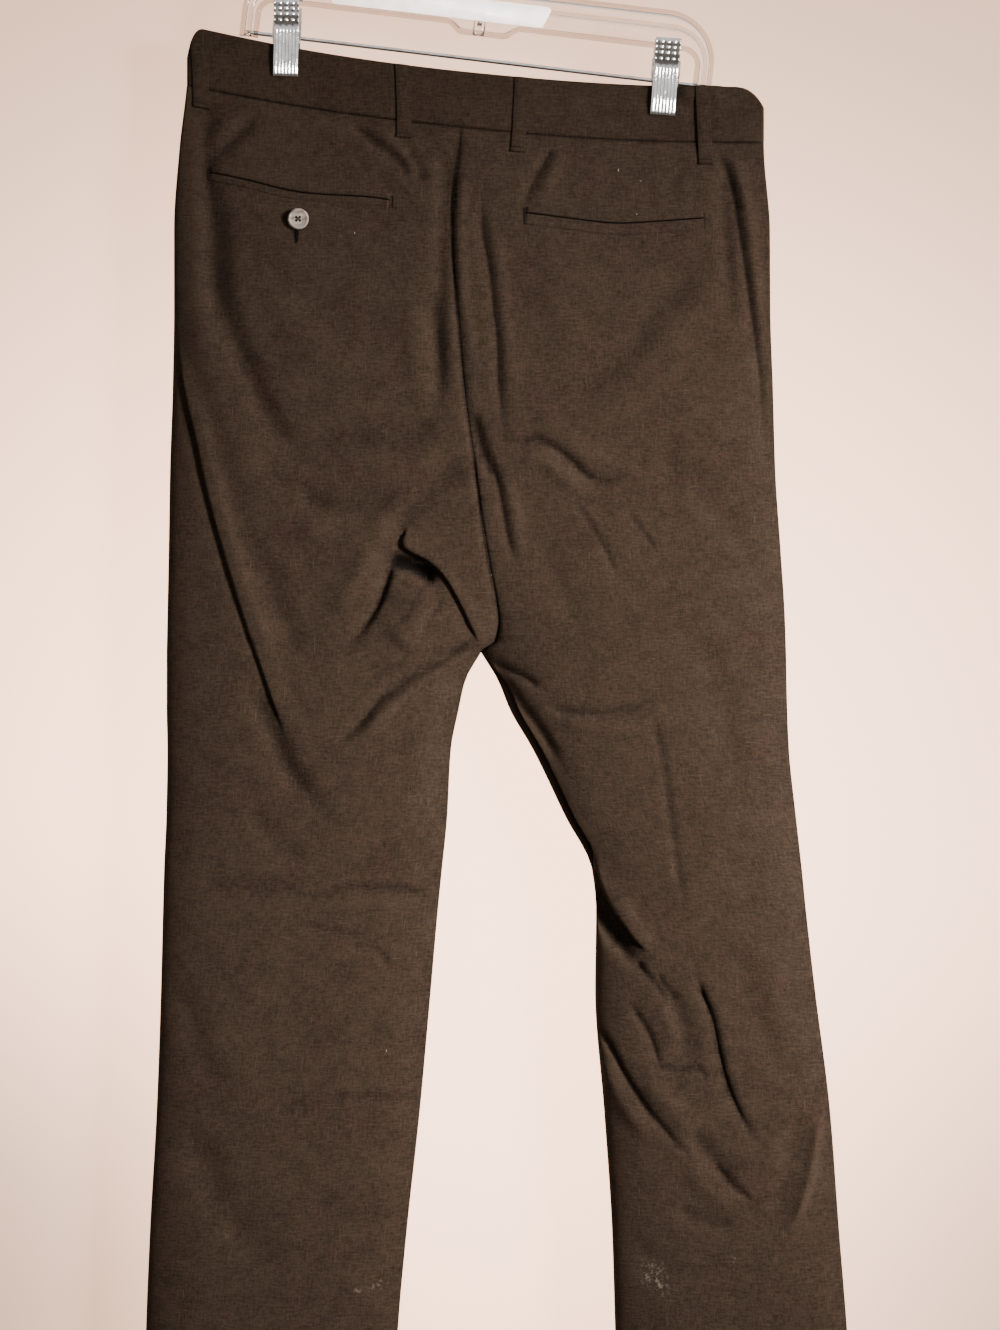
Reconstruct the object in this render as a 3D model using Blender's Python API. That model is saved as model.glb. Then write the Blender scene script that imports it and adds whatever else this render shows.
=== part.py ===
"""Linen trousers hung by the waistband from a clear clip hanger.

The back of the trousers faces -Y, +X is to the right of someone who looks at the back, and +Z is up.
The origin is where the rod touches the top of the hanger's hook. Sizes are in millimetres and are
turned into metres when a mesh is made.

Each cloth panel is a wall between an outer skin and an inner one. The outer skin is worked out from
the garment's outline, its depth below the waist seam and a table of folds.
"""

import math

import bpy
import bmesh
import numpy as np
from mathutils import Matrix, Vector
from mathutils.bvhtree import BVHTree

MM = 0.001
SEAM_GAP = 0.3
HALF_GAP = SEAM_GAP / 2

# Cloth walls
CLOTH_WALL = 1.4
HEM_WALL = 2.6
HEM_HEIGHT = 32.0
BAND_WALL = 3.0
LIP_WALL = 1.0
LOOP_WALL = 1.6
HEM_STEP = 6.0

# Folds: how they fade at the outline, at the waist seam and at their own two ends
FADE_FULLNESS = 0.5
SEAM_FADE = 20.0
FOLD_FADE_IN = 0.18
FOLD_FADE_OUT = 0.22
FOLD_END_SHARE = 0.25
NARROWEST_FOLD = 8.0
STEP_REACH = 6.0
FOLD_POINTS = 20

# The waist seam, as heights at the left side, the centre back and the right side
WAIST_PLACES = (-225.8, -22.5, 207.0)
WAIST_HEIGHTS = (-152.3, -184.5, -195.0)
BAND_HEIGHT = 42.0
BAND_LEFT_RISE = 3.2
FORK_HEIGHT = -577.0
FORK_REACH = 110.0
HIP_REACH = 150.0
CENTRE_REACH = 60.0
HEM_LEVEL = -1367.0
CENTRE_FRONT_SHIFT = 20.0
CENTRE_SHIFT_RISE = 250.0

# The clips hold the waist flat at these two places, and it bows between them. The band stands proud
# of the cloth under it, and opens round the hanger's right leg from a share of its height upwards.
CLIP_LEFT_X = -151.5
CLIP_RIGHT_X = 131.5
WAIST_CLAMPED = 3.5
WAIST_BOW = 4.5
WAIST_SETTLE = 200.0
BAND_PROUD = 0.6
BAND_ROUNDNESS = 7.0
# The band's rounded upper corners, left and right: where each starts, as a share of the way from the
# middle, and how far it drops
BAND_CORNERS = ((0.93, 24.0), (0.88, 16.0))
BAND_SHARES = (0.0, 0.22, 0.44, 0.68, 0.86, 1.0)
BAND_END_SHARE = 0.008
BAND_INSET = 0.03
LEG_STRADDLE = 7.2
STRADDLE_REACH = 20.0
STRADDLE_RAMP = 10.0
STRADDLE_START = 0.62
STRADDLE_RISE = 0.2

# Columns of the two outline tables
LEFT_SIDE, CENTRE, RIGHT_SIDE = 1, 2, 3
LEFT_OUTER, LEFT_INNER, RIGHT_INNER, RIGHT_OUTER = 1, 2, 3, 4

# Trunk outline, one row a level: height, left side, centre back, right side
TRUNK = (
    (-120.0, -224.0, -17.0, 203.5),
    (-150.0, -225.8, -18.0, 206.5),
    (-200.0, -231.5, -21.0, 207.0),
    (-260.0, -235.5, -26.5, 211.5),
    (-320.0, -235.5, -22.5, 211.8),
    (-380.0, -236.5, -17.5, 213.8),
    (-440.0, -238.5, -9.0, 215.5),
    (-500.0, -239.5, -1.5, 219.5),
    (-550.0, -240.5, 1.5, 222.7),
    (-577.0, -241.0, -5.3, 223.6),
)

# Leg outline: height, left outer edge, left inner edge, right inner edge, right outer edge
LEGS = (
    (-577.0, -241.0, -5.3, -5.3, 223.6),
    (-598.0, -241.0, -17.0, 7.5, 224.0),
    (-620.0, -241.0, -22.0, 16.5, 224.5),
    (-650.0, -240.5, -27.8, 33.8, 225.8),
    (-700.0, -241.3, -30.5, 58.0, 231.0),
    (-740.0, -243.0, -34.5, 78.0, 235.5),
    (-770.0, -243.8, -37.5, 81.0, 238.5),
    (-830.0, -245.3, -42.8, 80.3, 245.3),
    (-920.0, -248.5, -51.0, 87.0, 256.5),
    (-1010.0, -253.5, -60.8, 93.0, 263.3),
    (-1085.0, -256.5, -67.5, 95.3, 269.3),
    (-1200.0, -259.0, -73.0, 99.0, 276.0),
    (-1367.0, -262.0, -79.0, 103.0, 283.0),
)

# How far the cloth stands from the middle plane: drop below the waist seam, back, front, roundness
DEPTHS = (
    (0.0, 0.0, 0.0, 6.0),
    (30.0, 4.0, 2.5, 4.0),
    (80.0, 11.0, 7.0, 3.0),
    (150.0, 18.0, 11.0, 2.5),
    (230.0, 21.0, 13.0, 2.4),
    (320.0, 21.0, 14.0, 2.4),
    (430.0, 19.0, 13.0, 2.4),
    (560.0, 16.0, 12.0, 2.4),
    (760.0, 15.0, 11.0, 2.4),
    (980.0, 14.0, 11.0, 2.4),
    (1220.0, 14.0, 12.0, 2.4),
)

# Folds of the back. Each runs through three places (x, z) and has a kind, a height and a half width.
# A trough sinks and a ridge stands out. A step stands out on the left of someone who walks along it
# on the back from its first place, and sinks on their right.
BACK_FOLDS = (
    # first place, middle place, last place, kind, height, half width
    ((-175, -174), (-192, -190), (-207, -212), "trough", 2.0, 7),
    ((-96, -182), (-76, -196), (-58, -216), "trough", 2.6, 7),
    ((-208, -180), (-211, -250), (-208, -330), "trough", 2.2, 9),
    ((-193, -310), (-166, -375), (-138, -432), "trough", 3.2, 11),
    ((-118, -421), (-81, -419), (-45, -409), "trough", 2.8, 9),
    ((-145, -448), (-103, -463), (-58, -455), "trough", 3.4, 10),
    ((-233, -365), (-201, -489), (-125, -688), "step", 6.5, 8),
    ((-20, -220), (-22, -316), (-14, -418), "trough", 4.5, 7),
    ((-9, -430), (-4, -475), (4, -538), "trough", 3.0, 6),
    ((-8, -225), (2, -320), (11, -415), "ridge", 2.0, 7),
    ((14, -250), (16, -330), (20, -418), "trough", 2.6, 7),
    ((-38, -300), (-40, -345), (-37, -395), "trough", 2.0, 8),
    ((-13, -436), (-36, -462), (-61, -483), "step", 2.5, 7),
    ((-72, -504), (-33, -521), (-9, -566), "step", 5.0, 6),
    ((-61, -484), (-73, -538), (-103, -579), "trough", 4.5, 6),
    ((-84, -506), (-92, -540), (-104, -568), "trough", 2.0, 8),
    ((-20, -567), (-65, -601), (-116, -648), "trough", 4.0, 7),
    ((-80, -640), (-60, -660), (-42, -690), "ridge", 2.0, 12),
    ((-140, -756), (-90, -760), (-45, -757), "trough", 1.4, 6),
    ((-155, -920), (-105, -909), (-60, -913), "trough", 1.6, 6),
    ((-212, -973), (-196, -1002), (-178, -1034), "trough", 2.0, 9),
    ((39, -200), (34, -218), (28, -240), "trough", 2.0, 7),
    ((152, -290), (112, -335), (66, -390), "trough", 1.8, 12),
    ((179, -202), (196, -275), (208, -405), "trough", 3.4, 7),
    ((28, -415), (58, -430), (84, -451), "trough", 3.6, 6),
    ((84, -452), (102, -495), (116, -540), "trough", 1.6, 7),
    ((48, -620), (84, -623), (120, -617), "trough", 2.2, 6),
    ((72, -735), (98, -776), (122, -818), "step", 6.0, 7),
    ((151, -819), (166, -881), (193, -938), "trough", 4.2, 7),
    ((104, -822), (116, -845), (124, -870), "trough", 3.0, 7),
    ((80, -862), (92, -888), (122, -932), "trough", 4.0, 6),
    ((168, -958), (183, -980), (197, -993), "trough", 3.0, 7),
    ((140, -993), (160, -999), (180, -1007), "trough", 2.0, 7),
    ((246, -930), (234, -985), (221, -1018), "ridge", 2.2, 7),
    ((-150, -1120), (-165, -1190), (-172, -1270), "trough", 1.6, 12),
    ((190, -1100), (198, -1180), (200, -1270), "trough", 1.6, 12),
)

# Folds of the front, which the photograph hides: alike in kind, with places of their own
FRONT_FOLDS = (
    ((-150, -215), (-152, -300), (-140, -400), "trough", 2.2, 12),
    ((120, -225), (128, -310), (118, -410), "trough", 2.0, 12),
    ((-25, -520), (-80, -480), (-150, -460), "trough", 3.2, 9),
    ((20, -515), (75, -470), (140, -452), "trough", 3.0, 9),
    ((-30, -560), (-85, -552), (-150, -575), "trough", 2.6, 9),
    ((22, -560), (80, -545), (150, -562), "trough", 2.4, 9),
    ((-60, -640), (-110, -655), (-165, -650), "trough", 2.0, 9),
    ((70, -640), (120, -662), (175, -650), "trough", 2.0, 9),
    ((-90, -840), (-130, -870), (-190, -880), "trough", 2.8, 9),
    ((-80, -900), (-125, -915), (-175, -905), "trough", 2.2, 8),
    ((115, -850), (150, -885), (205, -900), "trough", 2.8, 9),
    ((110, -930), (150, -940), (200, -930), "trough", 2.0, 8),
    ((-150, -1000), (-160, -1120), (-165, -1250), "trough", 1.8, 14),
    ((185, -1000), (192, -1120), (195, -1250), "trough", 1.8, 14),
)

# Fly: the left front laps over the right one above the fly's foot
FLY_LENGTH = 165.0
FLY_CLOSE = 80.0
FLY_LAP = 11.0
FLY_LIFT = 2.2
LAP_BEFORE = 24.0
LAP_RAMP = 18.0
TAB_LAP = 24.0
TAB_LIFT = 3.6
TAB_RAMP = 22.0
TAB_FULL_BEFORE = 12.0
UNDERLAP = 12.0

# Belt loops: name, face, place along the band, lower end below the seam
LOOP_WIDTH = 10.0
LOOP_LIFT = 1.0
BELT_LOOPS = (
    ("belt_loop_side_left", "back", -214.0, 15.0),
    ("belt_loop_back_left", "back", -63.5, 13.0),
    ("belt_loop_back_right", "back", 25.0, 15.0),
    ("belt_loop_side_right", "back", 160.0, 17.0),
    ("belt_loop_front_left", "front", -92.0, 14.0),
    ("belt_loop_front_right", "front", 98.0, 14.0),
)

# Pocket openings: ends and sag of the slit, and how tall each lip is
POCKETS = (
    # name, left end (x, z), middle (x, z), right end (x, z), upper lip, lower lip
    ("back_pocket_left", (-208, -218), (-138, -234), (-71, -240), 5.0, 6.0),
    ("back_pocket_right", (28, -250), (95, -257), (161, -253), 5.5, 9.0),
)
FRONT_POCKETS = (
    # name, top (x, drop below the seam), foot (x, drop below the seam)
    ("front_pocket_edge_left", (-176.0, 3.0), (-219.0, 150.0)),
    ("front_pocket_edge_right", (158.0, 3.0), (200.0, 150.0)),
)
POCKET_EDGE_WIDTH = 9.0
POCKET_EDGE_POINTS = 11
LIP_POINTS = 13
LIP_GAP = 0.35
LIP_REACH = 3.0
REST_REACH = 3.5

BUTTON_RADIUS = 7.9
BUTTON_THICK = 2.8
BUTTON_RIM = 1.9
BUTTON_DISH = 0.7
BUTTON_HOLE = 0.95
BUTTON_HOLE_PITCH = 2.6
BUTTON_STAND = 0.9
BACK_BUTTON_PLACE = (-141.0, -255.0)
WAIST_BUTTON_PLACE = (8.0, -165.0)

# Hanger, in its own frame: along it and up from a middle point just below its rod
HANGER_TILT = math.radians(6.8)
HANGER_FOOT = (-10.5, -141.4)
HANGER_HALF_LENGTH = 178.0
HANGER_HEIGHT = 63.0
HANGER_THICK = 5.0
LEG_FOOT = 6.4
LEG_CORNER = 1.5
ROD_UP = 9.1
ROD_RADIUS = 1.5
ROD_END = 4.0
BEAM_FOOT = 34.0
BEAM_DIP = 7.0
DIP_LEFT = -24.0
DIP_RIGHT = 30.0
END_WIDTH = 14.0
RIM_WIDTH = 3.2
WEB_RECESS = 1.5
WEB_MARGIN = 2.0
WEB_END_MARGIN = 6.0
WEB_CORNER = 9.0
CORNER_CUT = 10.0
CUT_PAST = 10.0
SHOULDER_RADIUS = 38.0
BOSS_HALF_WIDTH = 9.0
ARC_STEPS = 8
ROUND_SIDES = 12

HOOK_WIRE = 1.7
HOOK_INNER_RADIUS = 16.0
HOOK_SEAT = 33.0
HOOK_NECK = 80.0

# Clips, in a frame of their own: up from the tip of the jaws
CLIP_WIDTH = 19.0
CLIP_WALL = 1.1
CLIP_RIB = 0.7
CLIP_RIBS = 5
CLIPS = (
    # name, foot of the jaws (x, z), lean
    ("clip_left", (-151.5, -146.3), math.radians(1.5)),
    ("clip_right", (130.5, -175.3), math.radians(4.5)),
)
JAW_PROFILE = (
    # up, out
    (0.0, 4.2),
    (7.0, 5.2),
    (14.0, 5.6),
    (24.0, 5.4),
    (33.0, 5.8),
    (45.0, 9.2),
    (56.0, 12.6),
)
SPRING_UP = 37.0
SPRING_RADIUS = 3.6

# Grids
TRUNK_ROWS = 16
COLUMNS = {"back": 21, "front": 14}
LEG_LEVELS = {
    "back": (-585, -598, -612, -628, -646, -666, -690, -715, -740, -755, -770, -794, -818,
             -842, -866, -890, -914, -940, -968, -1000, -1040, -1090, -1150, -1215, -1280, -1335, -1367),
    "front": (-585, -598, -616, -646, -690, -740, -770, -805, -850, -900, -950, -1010,
              -1080, -1160, -1250, -1335, -1367),
}
TRUNK_ROW_BEND = 0.35
FORK_SHARE = 0.8
OUTLINE_ROUNDS = 4
RAY_START = 80.0

# name: colour, roughness, metallic
FINISHES = {
    "linen": ((0.055, 0.040, 0.028), 0.9, 0.0),
    "button": ((0.42, 0.36, 0.31), 0.4, 0.0),
    "clear plastic": ((0.85, 0.84, 0.82), 0.12, 0.0),
    "plated steel": ((0.72, 0.73, 0.75), 0.22, 1.0),
}


# ---------------------------------------------------------------- smooth tables

def slopes_of(places, values):
    """Slopes for a curve through the rows that never swings past them."""
    steps = np.diff(places)
    rises = np.diff(values) / steps
    slopes = np.zeros(len(places))
    for i in range(1, len(places) - 1):
        before, after = rises[i - 1], rises[i]
        if before * after > 0:
            first = 2 * steps[i] + steps[i - 1]
            second = steps[i] + 2 * steps[i - 1]
            slopes[i] = (first + second) / (first / before + second / after)
    slopes[0] = rises[0]
    slopes[-1] = rises[-1]
    return slopes


def read_table(table, column, place):
    """A smooth reading of one column of a table, whose first column is the place."""
    rows = sorted(table, key=lambda row: row[0])
    places = np.array([row[0] for row in rows], dtype=float)
    values = np.array([row[column] for row in rows], dtype=float)
    slopes = slopes_of(places, values)
    where = np.clip(np.asarray(place, dtype=float), places[0], places[-1])
    index = np.clip(np.searchsorted(places, where) - 1, 0, len(places) - 2)
    width = places[index + 1] - places[index]
    t = (where - places[index]) / width
    return (values[index] * (1 + 2 * t) * (1 - t) ** 2
            + values[index + 1] * t * t * (3 - 2 * t)
            + slopes[index] * width * t * (1 - t) ** 2
            - slopes[index + 1] * width * t * t * (1 - t))


def smooth(value):
    """From 0 to 1 with a soft start and end."""
    value = np.clip(value, 0.0, 1.0)
    return value * value * (3 - 2 * value)


def mix(a, b, share):
    return a * (1 - share) + b * share


# ---------------------------------------------------------------- the garment's outer skin

def waist_height(x):
    """Height of the waist seam at a place along the waist."""
    (a, b, c), (p, q, r) = WAIST_PLACES, WAIST_HEIGHTS
    return (p * (x - b) * (x - c) / ((a - b) * (a - c))
            + q * (x - a) * (x - c) / ((b - a) * (b - c))
            + r * (x - a) * (x - b) / ((c - a) * (c - b)))


def centre_line(face, z):
    """The centre back or centre front, which meet at the fork."""
    back = read_table(TRUNK, CENTRE, z)
    if face == "back":
        return back
    return back + CENTRE_FRONT_SHIFT * smooth((z - FORK_HEIGHT) / CENTRE_SHIFT_RISE)


def waist_depth(x):
    """Half depth of the waist: flat at the clips and bowed between them."""
    between = np.clip((x - CLIP_LEFT_X) / (CLIP_RIGHT_X - CLIP_LEFT_X), 0.0, 1.0)
    return WAIST_CLAMPED + WAIST_BOW * np.sin(math.pi * between) ** 2


def edge_rounding(share, roundness):
    """How full a section is at a share from its middle (0) to its edge (1)."""
    share = np.clip(np.abs(share), 0.0, 1.0)
    return np.maximum(1 - share ** roundness, 0.0) ** (1 / roundness)


def fullness(face, x, z):
    """How full the tubes are at a place, from 0 at an outline or inner leg to 1 in the middle.

    The trunk is one tube and each leg is another. Near the fork the one turns into the others, over
    a short reach at the centre line and over a long one at the hips.
    """
    above = z > FORK_HEIGHT
    roundness = read_table(DEPTHS, 3, waist_height(x) - z)
    centre = centre_line(face, z)
    left_in = np.where(above, centre, read_table(LEGS, LEFT_INNER, z))
    right_in = np.where(above, centre, read_table(LEGS, RIGHT_INNER, z))
    left_out = np.where(above, read_table(TRUNK, LEFT_SIDE, z), read_table(LEGS, LEFT_OUTER, z))
    right_out = np.where(above, read_table(TRUNK, RIGHT_SIDE, z), read_table(LEGS, RIGHT_OUTER, z))
    trunk = edge_rounding((2 * x - left_out - right_out) / (right_out - left_out), roundness)
    on_left = x < (left_in + right_in) / 2
    inner = np.where(on_left, left_in, right_in)
    outer = np.where(on_left, left_out, right_out)
    leg = edge_rounding((2 * x - inner - outer) / (outer - inner), roundness)
    rise = np.clip((FORK_HEIGHT + FORK_REACH - z) / FORK_REACH, 0.0, 1.0)
    at_centre = np.where(above, 1 - np.sqrt(1 - rise * rise), 1.0)
    at_hips = smooth((FORK_HEIGHT + HIP_REACH - z) / (2 * HIP_REACH))
    near_centre = np.exp(-((x - inner) / CENTRE_REACH) ** 2)
    return mix(trunk, leg, mix(at_hips, at_centre, near_centre))


def fold_run(first, middle, last, count=FOLD_POINTS):
    """Points along a fold, on a bent line through its three places."""
    t = np.linspace(0.0, 1.0, count)[:, None]
    first, middle, last = (np.array(p, dtype=float) for p in (first, middle, last))
    control = 2 * middle - (first + last) / 2
    return first * (1 - t) ** 2 + control * 2 * t * (1 - t) + last * t * t


def fold_height(fold, x, z):
    """What one fold adds to the cloth's height at each place."""
    first, middle, last, kind, height, half_width = fold
    half_width = max(half_width, NARROWEST_FOLD)
    run = fold_run(first, middle, last)
    best = np.full(np.shape(x), 1e9)
    side = np.zeros(np.shape(x))
    along = np.zeros(np.shape(x))
    for i in range(len(run) - 1):
        start = run[i]
        step = run[i + 1] - start
        length = np.hypot(*step)
        dx, dz = x - start[0], z - start[1]
        t = np.clip((dx * step[0] + dz * step[1]) / length ** 2, 0.0, 1.0)
        distance = np.hypot(dx - t * step[0], dz - t * step[1])
        nearer = distance < best
        best = np.where(nearer, distance, best)
        side = np.where(nearer, np.sign(dx * step[1] - dz * step[0]), side)
        along = np.where(nearer, (i + t) / (len(run) - 1), along)
    ends = smooth(along / FOLD_FADE_IN) * smooth((1 - along) / FOLD_FADE_OUT)
    if kind == "step":
        reach = STEP_REACH * half_width
        return -height * np.tanh(side * best / half_width) * np.exp(-(best / reach) ** 2) * ends
    sign = 1 if kind == "ridge" else -1
    return sign * height * np.exp(-(best / half_width) ** 2) * mix(FOLD_END_SHARE, 1.0, ends)


def folds(face, x, z):
    total = np.zeros(np.shape(x))
    for fold in BACK_FOLDS if face == "back" else FRONT_FOLDS:
        total = total + fold_height(fold, x, z)
    return total


def plain_depth(face, x, z):
    """Distance of the cloth's outer skin from the middle plane, before its folds."""
    drop = waist_height(x) - z
    depth = read_table(DEPTHS, 1 if face == "back" else 2, drop)
    waist = mix(waist_depth(x) - BAND_PROUD, WAIST_CLAMPED, smooth(drop / WAIST_SETTLE))
    return (waist + depth) * fullness(face, x, z)


def fold_depth(face, x, z):
    """What the folds add. They fade out at the outline and at the waist seam."""
    inside = smooth(fullness(face, x, z) / FADE_FULLNESS)
    return folds(face, x, z) * inside * smooth((waist_height(x) - z) / SEAM_FADE)


# ---------------------------------------------------------------- meshes

def place_object(name, mesh, finish):
    """Puts a mesh in the scene as a named object with its own material."""
    colour, roughness, metallic = FINISHES[finish]
    material = bpy.data.materials.new(name + " finish")
    material.use_nodes = True
    shader = material.node_tree.nodes["Principled BSDF"]
    shader.inputs["Base Color"].default_value = (*colour, 1.0)
    shader.inputs["Roughness"].default_value = roughness
    shader.inputs["Metallic"].default_value = metallic
    mesh.materials.append(material)
    thing = bpy.data.objects.new(name, mesh)
    bpy.context.scene.collection.objects.link(thing)
    return thing


def mesh_from(name, points, faces, round_shading=True):
    """A mesh from points in millimetres, with its faces turned outwards."""
    mesh = bpy.data.meshes.new(name)
    mesh.from_pydata([tuple(float(c) * MM for c in p) for p in points], [], faces)
    shape = bmesh.new()
    shape.from_mesh(mesh)
    bmesh.ops.recalc_face_normals(shape, faces=shape.faces)
    shape.to_mesh(mesh)
    shape.free()
    if round_shading:
        mesh.shade_smooth()
        mesh.set_sharp_from_angle(angle=math.radians(40))
    return mesh


def wall_faces(outer):
    """Faces of a closed wall whose outer grid comes first and whose inner grid follows.

    Both skins are split along the same diagonals, the shorter ones, so that they stay apart.
    """
    rows, columns = outer.shape[:2]
    inner = rows * columns
    faces = []
    for i in range(rows - 1):
        for j in range(columns - 1):
            a = i * columns + j
            b, c, d = a + 1, a + columns + 1, a + columns
            falling = np.linalg.norm(outer[i, j] - outer[i + 1, j + 1])
            rising = np.linalg.norm(outer[i, j + 1] - outer[i + 1, j])
            halves = ((a, b, c), (a, c, d)) if falling <= rising else ((a, b, d), (b, c, d))
            for half in halves:
                faces.append(half)
                faces.append(tuple(inner + corner for corner in reversed(half)))
    for i in range(rows - 1):
        for j in (0, columns - 1):
            a = i * columns + j
            d = a + columns
            faces.append((a, d, inner + d, inner + a))
    for j in range(columns - 1):
        for i in (0, rows - 1):
            a = i * columns + j
            faces.append((a, a + 1, inner + a + 1, inner + a))
    return faces


def grid_normals(grid, outward):
    """Unit normals of a grid of points, on the side that the outward sign of Y names."""
    down = np.gradient(grid, axis=0)
    across = np.gradient(grid, axis=1)
    normals = np.cross(down, across)
    normals /= np.linalg.norm(normals, axis=2, keepdims=True)
    middle = normals[:, grid.shape[1] // 2, 1]
    if np.sign(middle.mean()) != outward:
        normals = -normals
    return normals


def wall_object(name, outer, inner, finish):
    points = np.concatenate([outer.reshape(-1, 3), inner.reshape(-1, 3)])
    return place_object(name, mesh_from(name, points, wall_faces(outer)), finish)


def outward_of(face):
    return -1.0 if face == "back" else 1.0


# ---------------------------------------------------------------- panels

def column_shares(count, both_ends):
    """Shares across a panel: two short steps at a rounded edge, and even ones elsewhere."""
    short = [0.0, 0.009, 0.032]
    if both_ends:
        even = np.linspace(short[-1], 1 - short[-1], count - 3)
        tail = [1 - short[1], 1.0]
    else:
        even = np.linspace(short[-1], 1.0, count - 1)
        tail = []
    return np.array(short[:-1] + list(even) + tail)


def fly_share(z, x):
    """The fly's share of its full lap and lift: one from the waist down, and none at its foot."""
    drop = waist_height(x) - z
    return 1 - np.clip((drop - FLY_LENGTH + FLY_CLOSE) / FLY_CLOSE, 0.0, 1.0)


def trunk_edge(face, column, share):
    """A panel's edge (x, z) at a share of the way from the waist seam down to the fork."""
    z = mix(WAIST_HEIGHTS[1], FORK_HEIGHT, share)
    for _ in range(OUTLINE_ROUNDS):
        x = centre_line(face, z) if column == CENTRE else read_table(TRUNK, column, z)
        z = mix(waist_height(x) - HALF_GAP, FORK_HEIGHT, share)
    return float(x), float(z)


def panel_grid(face, side):
    """Places (x, z) of a panel's points, row by row from the waist seam to the hem."""
    count = COLUMNS[face]
    trunk_shares = column_shares(count, False)
    leg_shares = column_shares(count, True)
    on_left = side == "left"
    fall = np.linspace(0.0, 1.0, TRUNK_ROWS)
    rows = []
    for share in mix(fall, np.sin(fall * math.pi / 2), TRUNK_ROW_BEND):
        x_out = trunk_edge(face, LEFT_SIDE if on_left else RIGHT_SIDE, share)[0]
        x_in, z_in = trunk_edge(face, CENTRE, share)
        x_in += -HALF_GAP if on_left else HALF_GAP
        if face == "front" and on_left:
            x_in += FLY_LAP * float(smooth(2 * fly_share(z_in, x_in) - 1))
        near_fork = smooth((share - FORK_SHARE) / (1 - FORK_SHARE))
        x = mix(x_out, x_in, mix(trunk_shares, leg_shares, near_fork))
        rows.append((x, mix(waist_height(x) - HALF_GAP, FORK_HEIGHT, share)))
    for level in LEG_LEVELS[face]:
        x_out = float(read_table(LEGS, LEFT_OUTER if on_left else RIGHT_OUTER, level))
        x_in = float(read_table(LEGS, LEFT_INNER if on_left else RIGHT_INNER, level))
        rows.append((mix(x_out, x_in, leg_shares), np.full(count + 1, float(level))))
    return np.array([r[0] for r in rows]), np.array([r[1] for r in rows])


def make_panel(face, side):
    """A panel's wall. Its thickness is laid off from the unfolded skin, so no fold makes it cross."""
    outward = outward_of(face)
    x, z = panel_grid(face, side)
    plain = plain_depth(face, x, z)
    if face == "front" and side == "left":
        past = x - centre_line("front", z)
        lap = smooth((past + LAP_BEFORE) / LAP_RAMP) * smooth(2 * fly_share(z, x))
        plain = plain + FLY_LIFT * np.where(z > FORK_HEIGHT, lap, 0.0)
    normals = grid_normals(np.stack([x, outward * np.maximum(plain, HALF_GAP), z], axis=2), outward)
    depth = np.maximum(plain + fold_depth(face, x, z), HALF_GAP)
    outer = np.stack([x, outward * depth, z], axis=2)
    thick = mix(CLOTH_WALL, HEM_WALL, smooth((HEM_LEVEL + HEM_HEIGHT + HEM_STEP - z) / HEM_STEP))
    inner = outer - normals * thick[:, :, None]
    inner[:, :, 1] = outward * np.maximum(outward * inner[:, :, 1], HALF_GAP)
    inner[0, :, 2] = outer[0, :, 2]
    inner[-1, :, 2] = outer[-1, :, 2]
    sign = 1 if side == "left" else -1
    trunk = slice(0, TRUNK_ROWS)
    limit = outer[trunk, -1, 0]
    inner[trunk, -1, 0] = limit
    inner[trunk, :, 0] = np.where(sign * (inner[trunk, :, 0] - limit[:, None]) > 0,
                                  limit[:, None], inner[trunk, :, 0])
    return wall_object(f"{face}_panel_{side}", outer, inner, "linen")


# ---------------------------------------------------------------- waistband

def band_top(x):
    """Height of the band's top edge, which is rounded off at both side folds."""
    left, right = WAIST_PLACES[0], WAIST_PLACES[-1]
    share = (2 * x - left - right) / (right - left)
    height = BAND_HEIGHT + BAND_LEFT_RISE * np.maximum(-share, 0.0) ** 1.5
    for side, (start, drop) in zip((-1, 1), BAND_CORNERS):
        height = height - drop * np.clip((side * share - start) / (1 - start), 0.0, 1.0) ** 3
    return waist_height(x) + height


def band_depth(x, share):
    """Half depth of the band from its seam (share 0) to its top (share 1), round the hanger's leg."""
    left, right = WAIST_PLACES[0], WAIST_PLACES[-1]
    leg = HANGER_FOOT[0] + (HANGER_HALF_LENGTH - END_WIDTH / 2) * math.cos(HANGER_TILT)
    round_leg = smooth((STRADDLE_REACH - np.abs(x - leg)) / STRADDLE_RAMP)
    straddle = np.maximum(LEG_STRADDLE - waist_depth(x), 0.0)
    depth = waist_depth(x) + straddle * round_leg * smooth((share - STRADDLE_START) / STRADDLE_RISE)
    return depth * edge_rounding((2 * x - left - right) / (right - left), BAND_ROUNDNESS)


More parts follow.
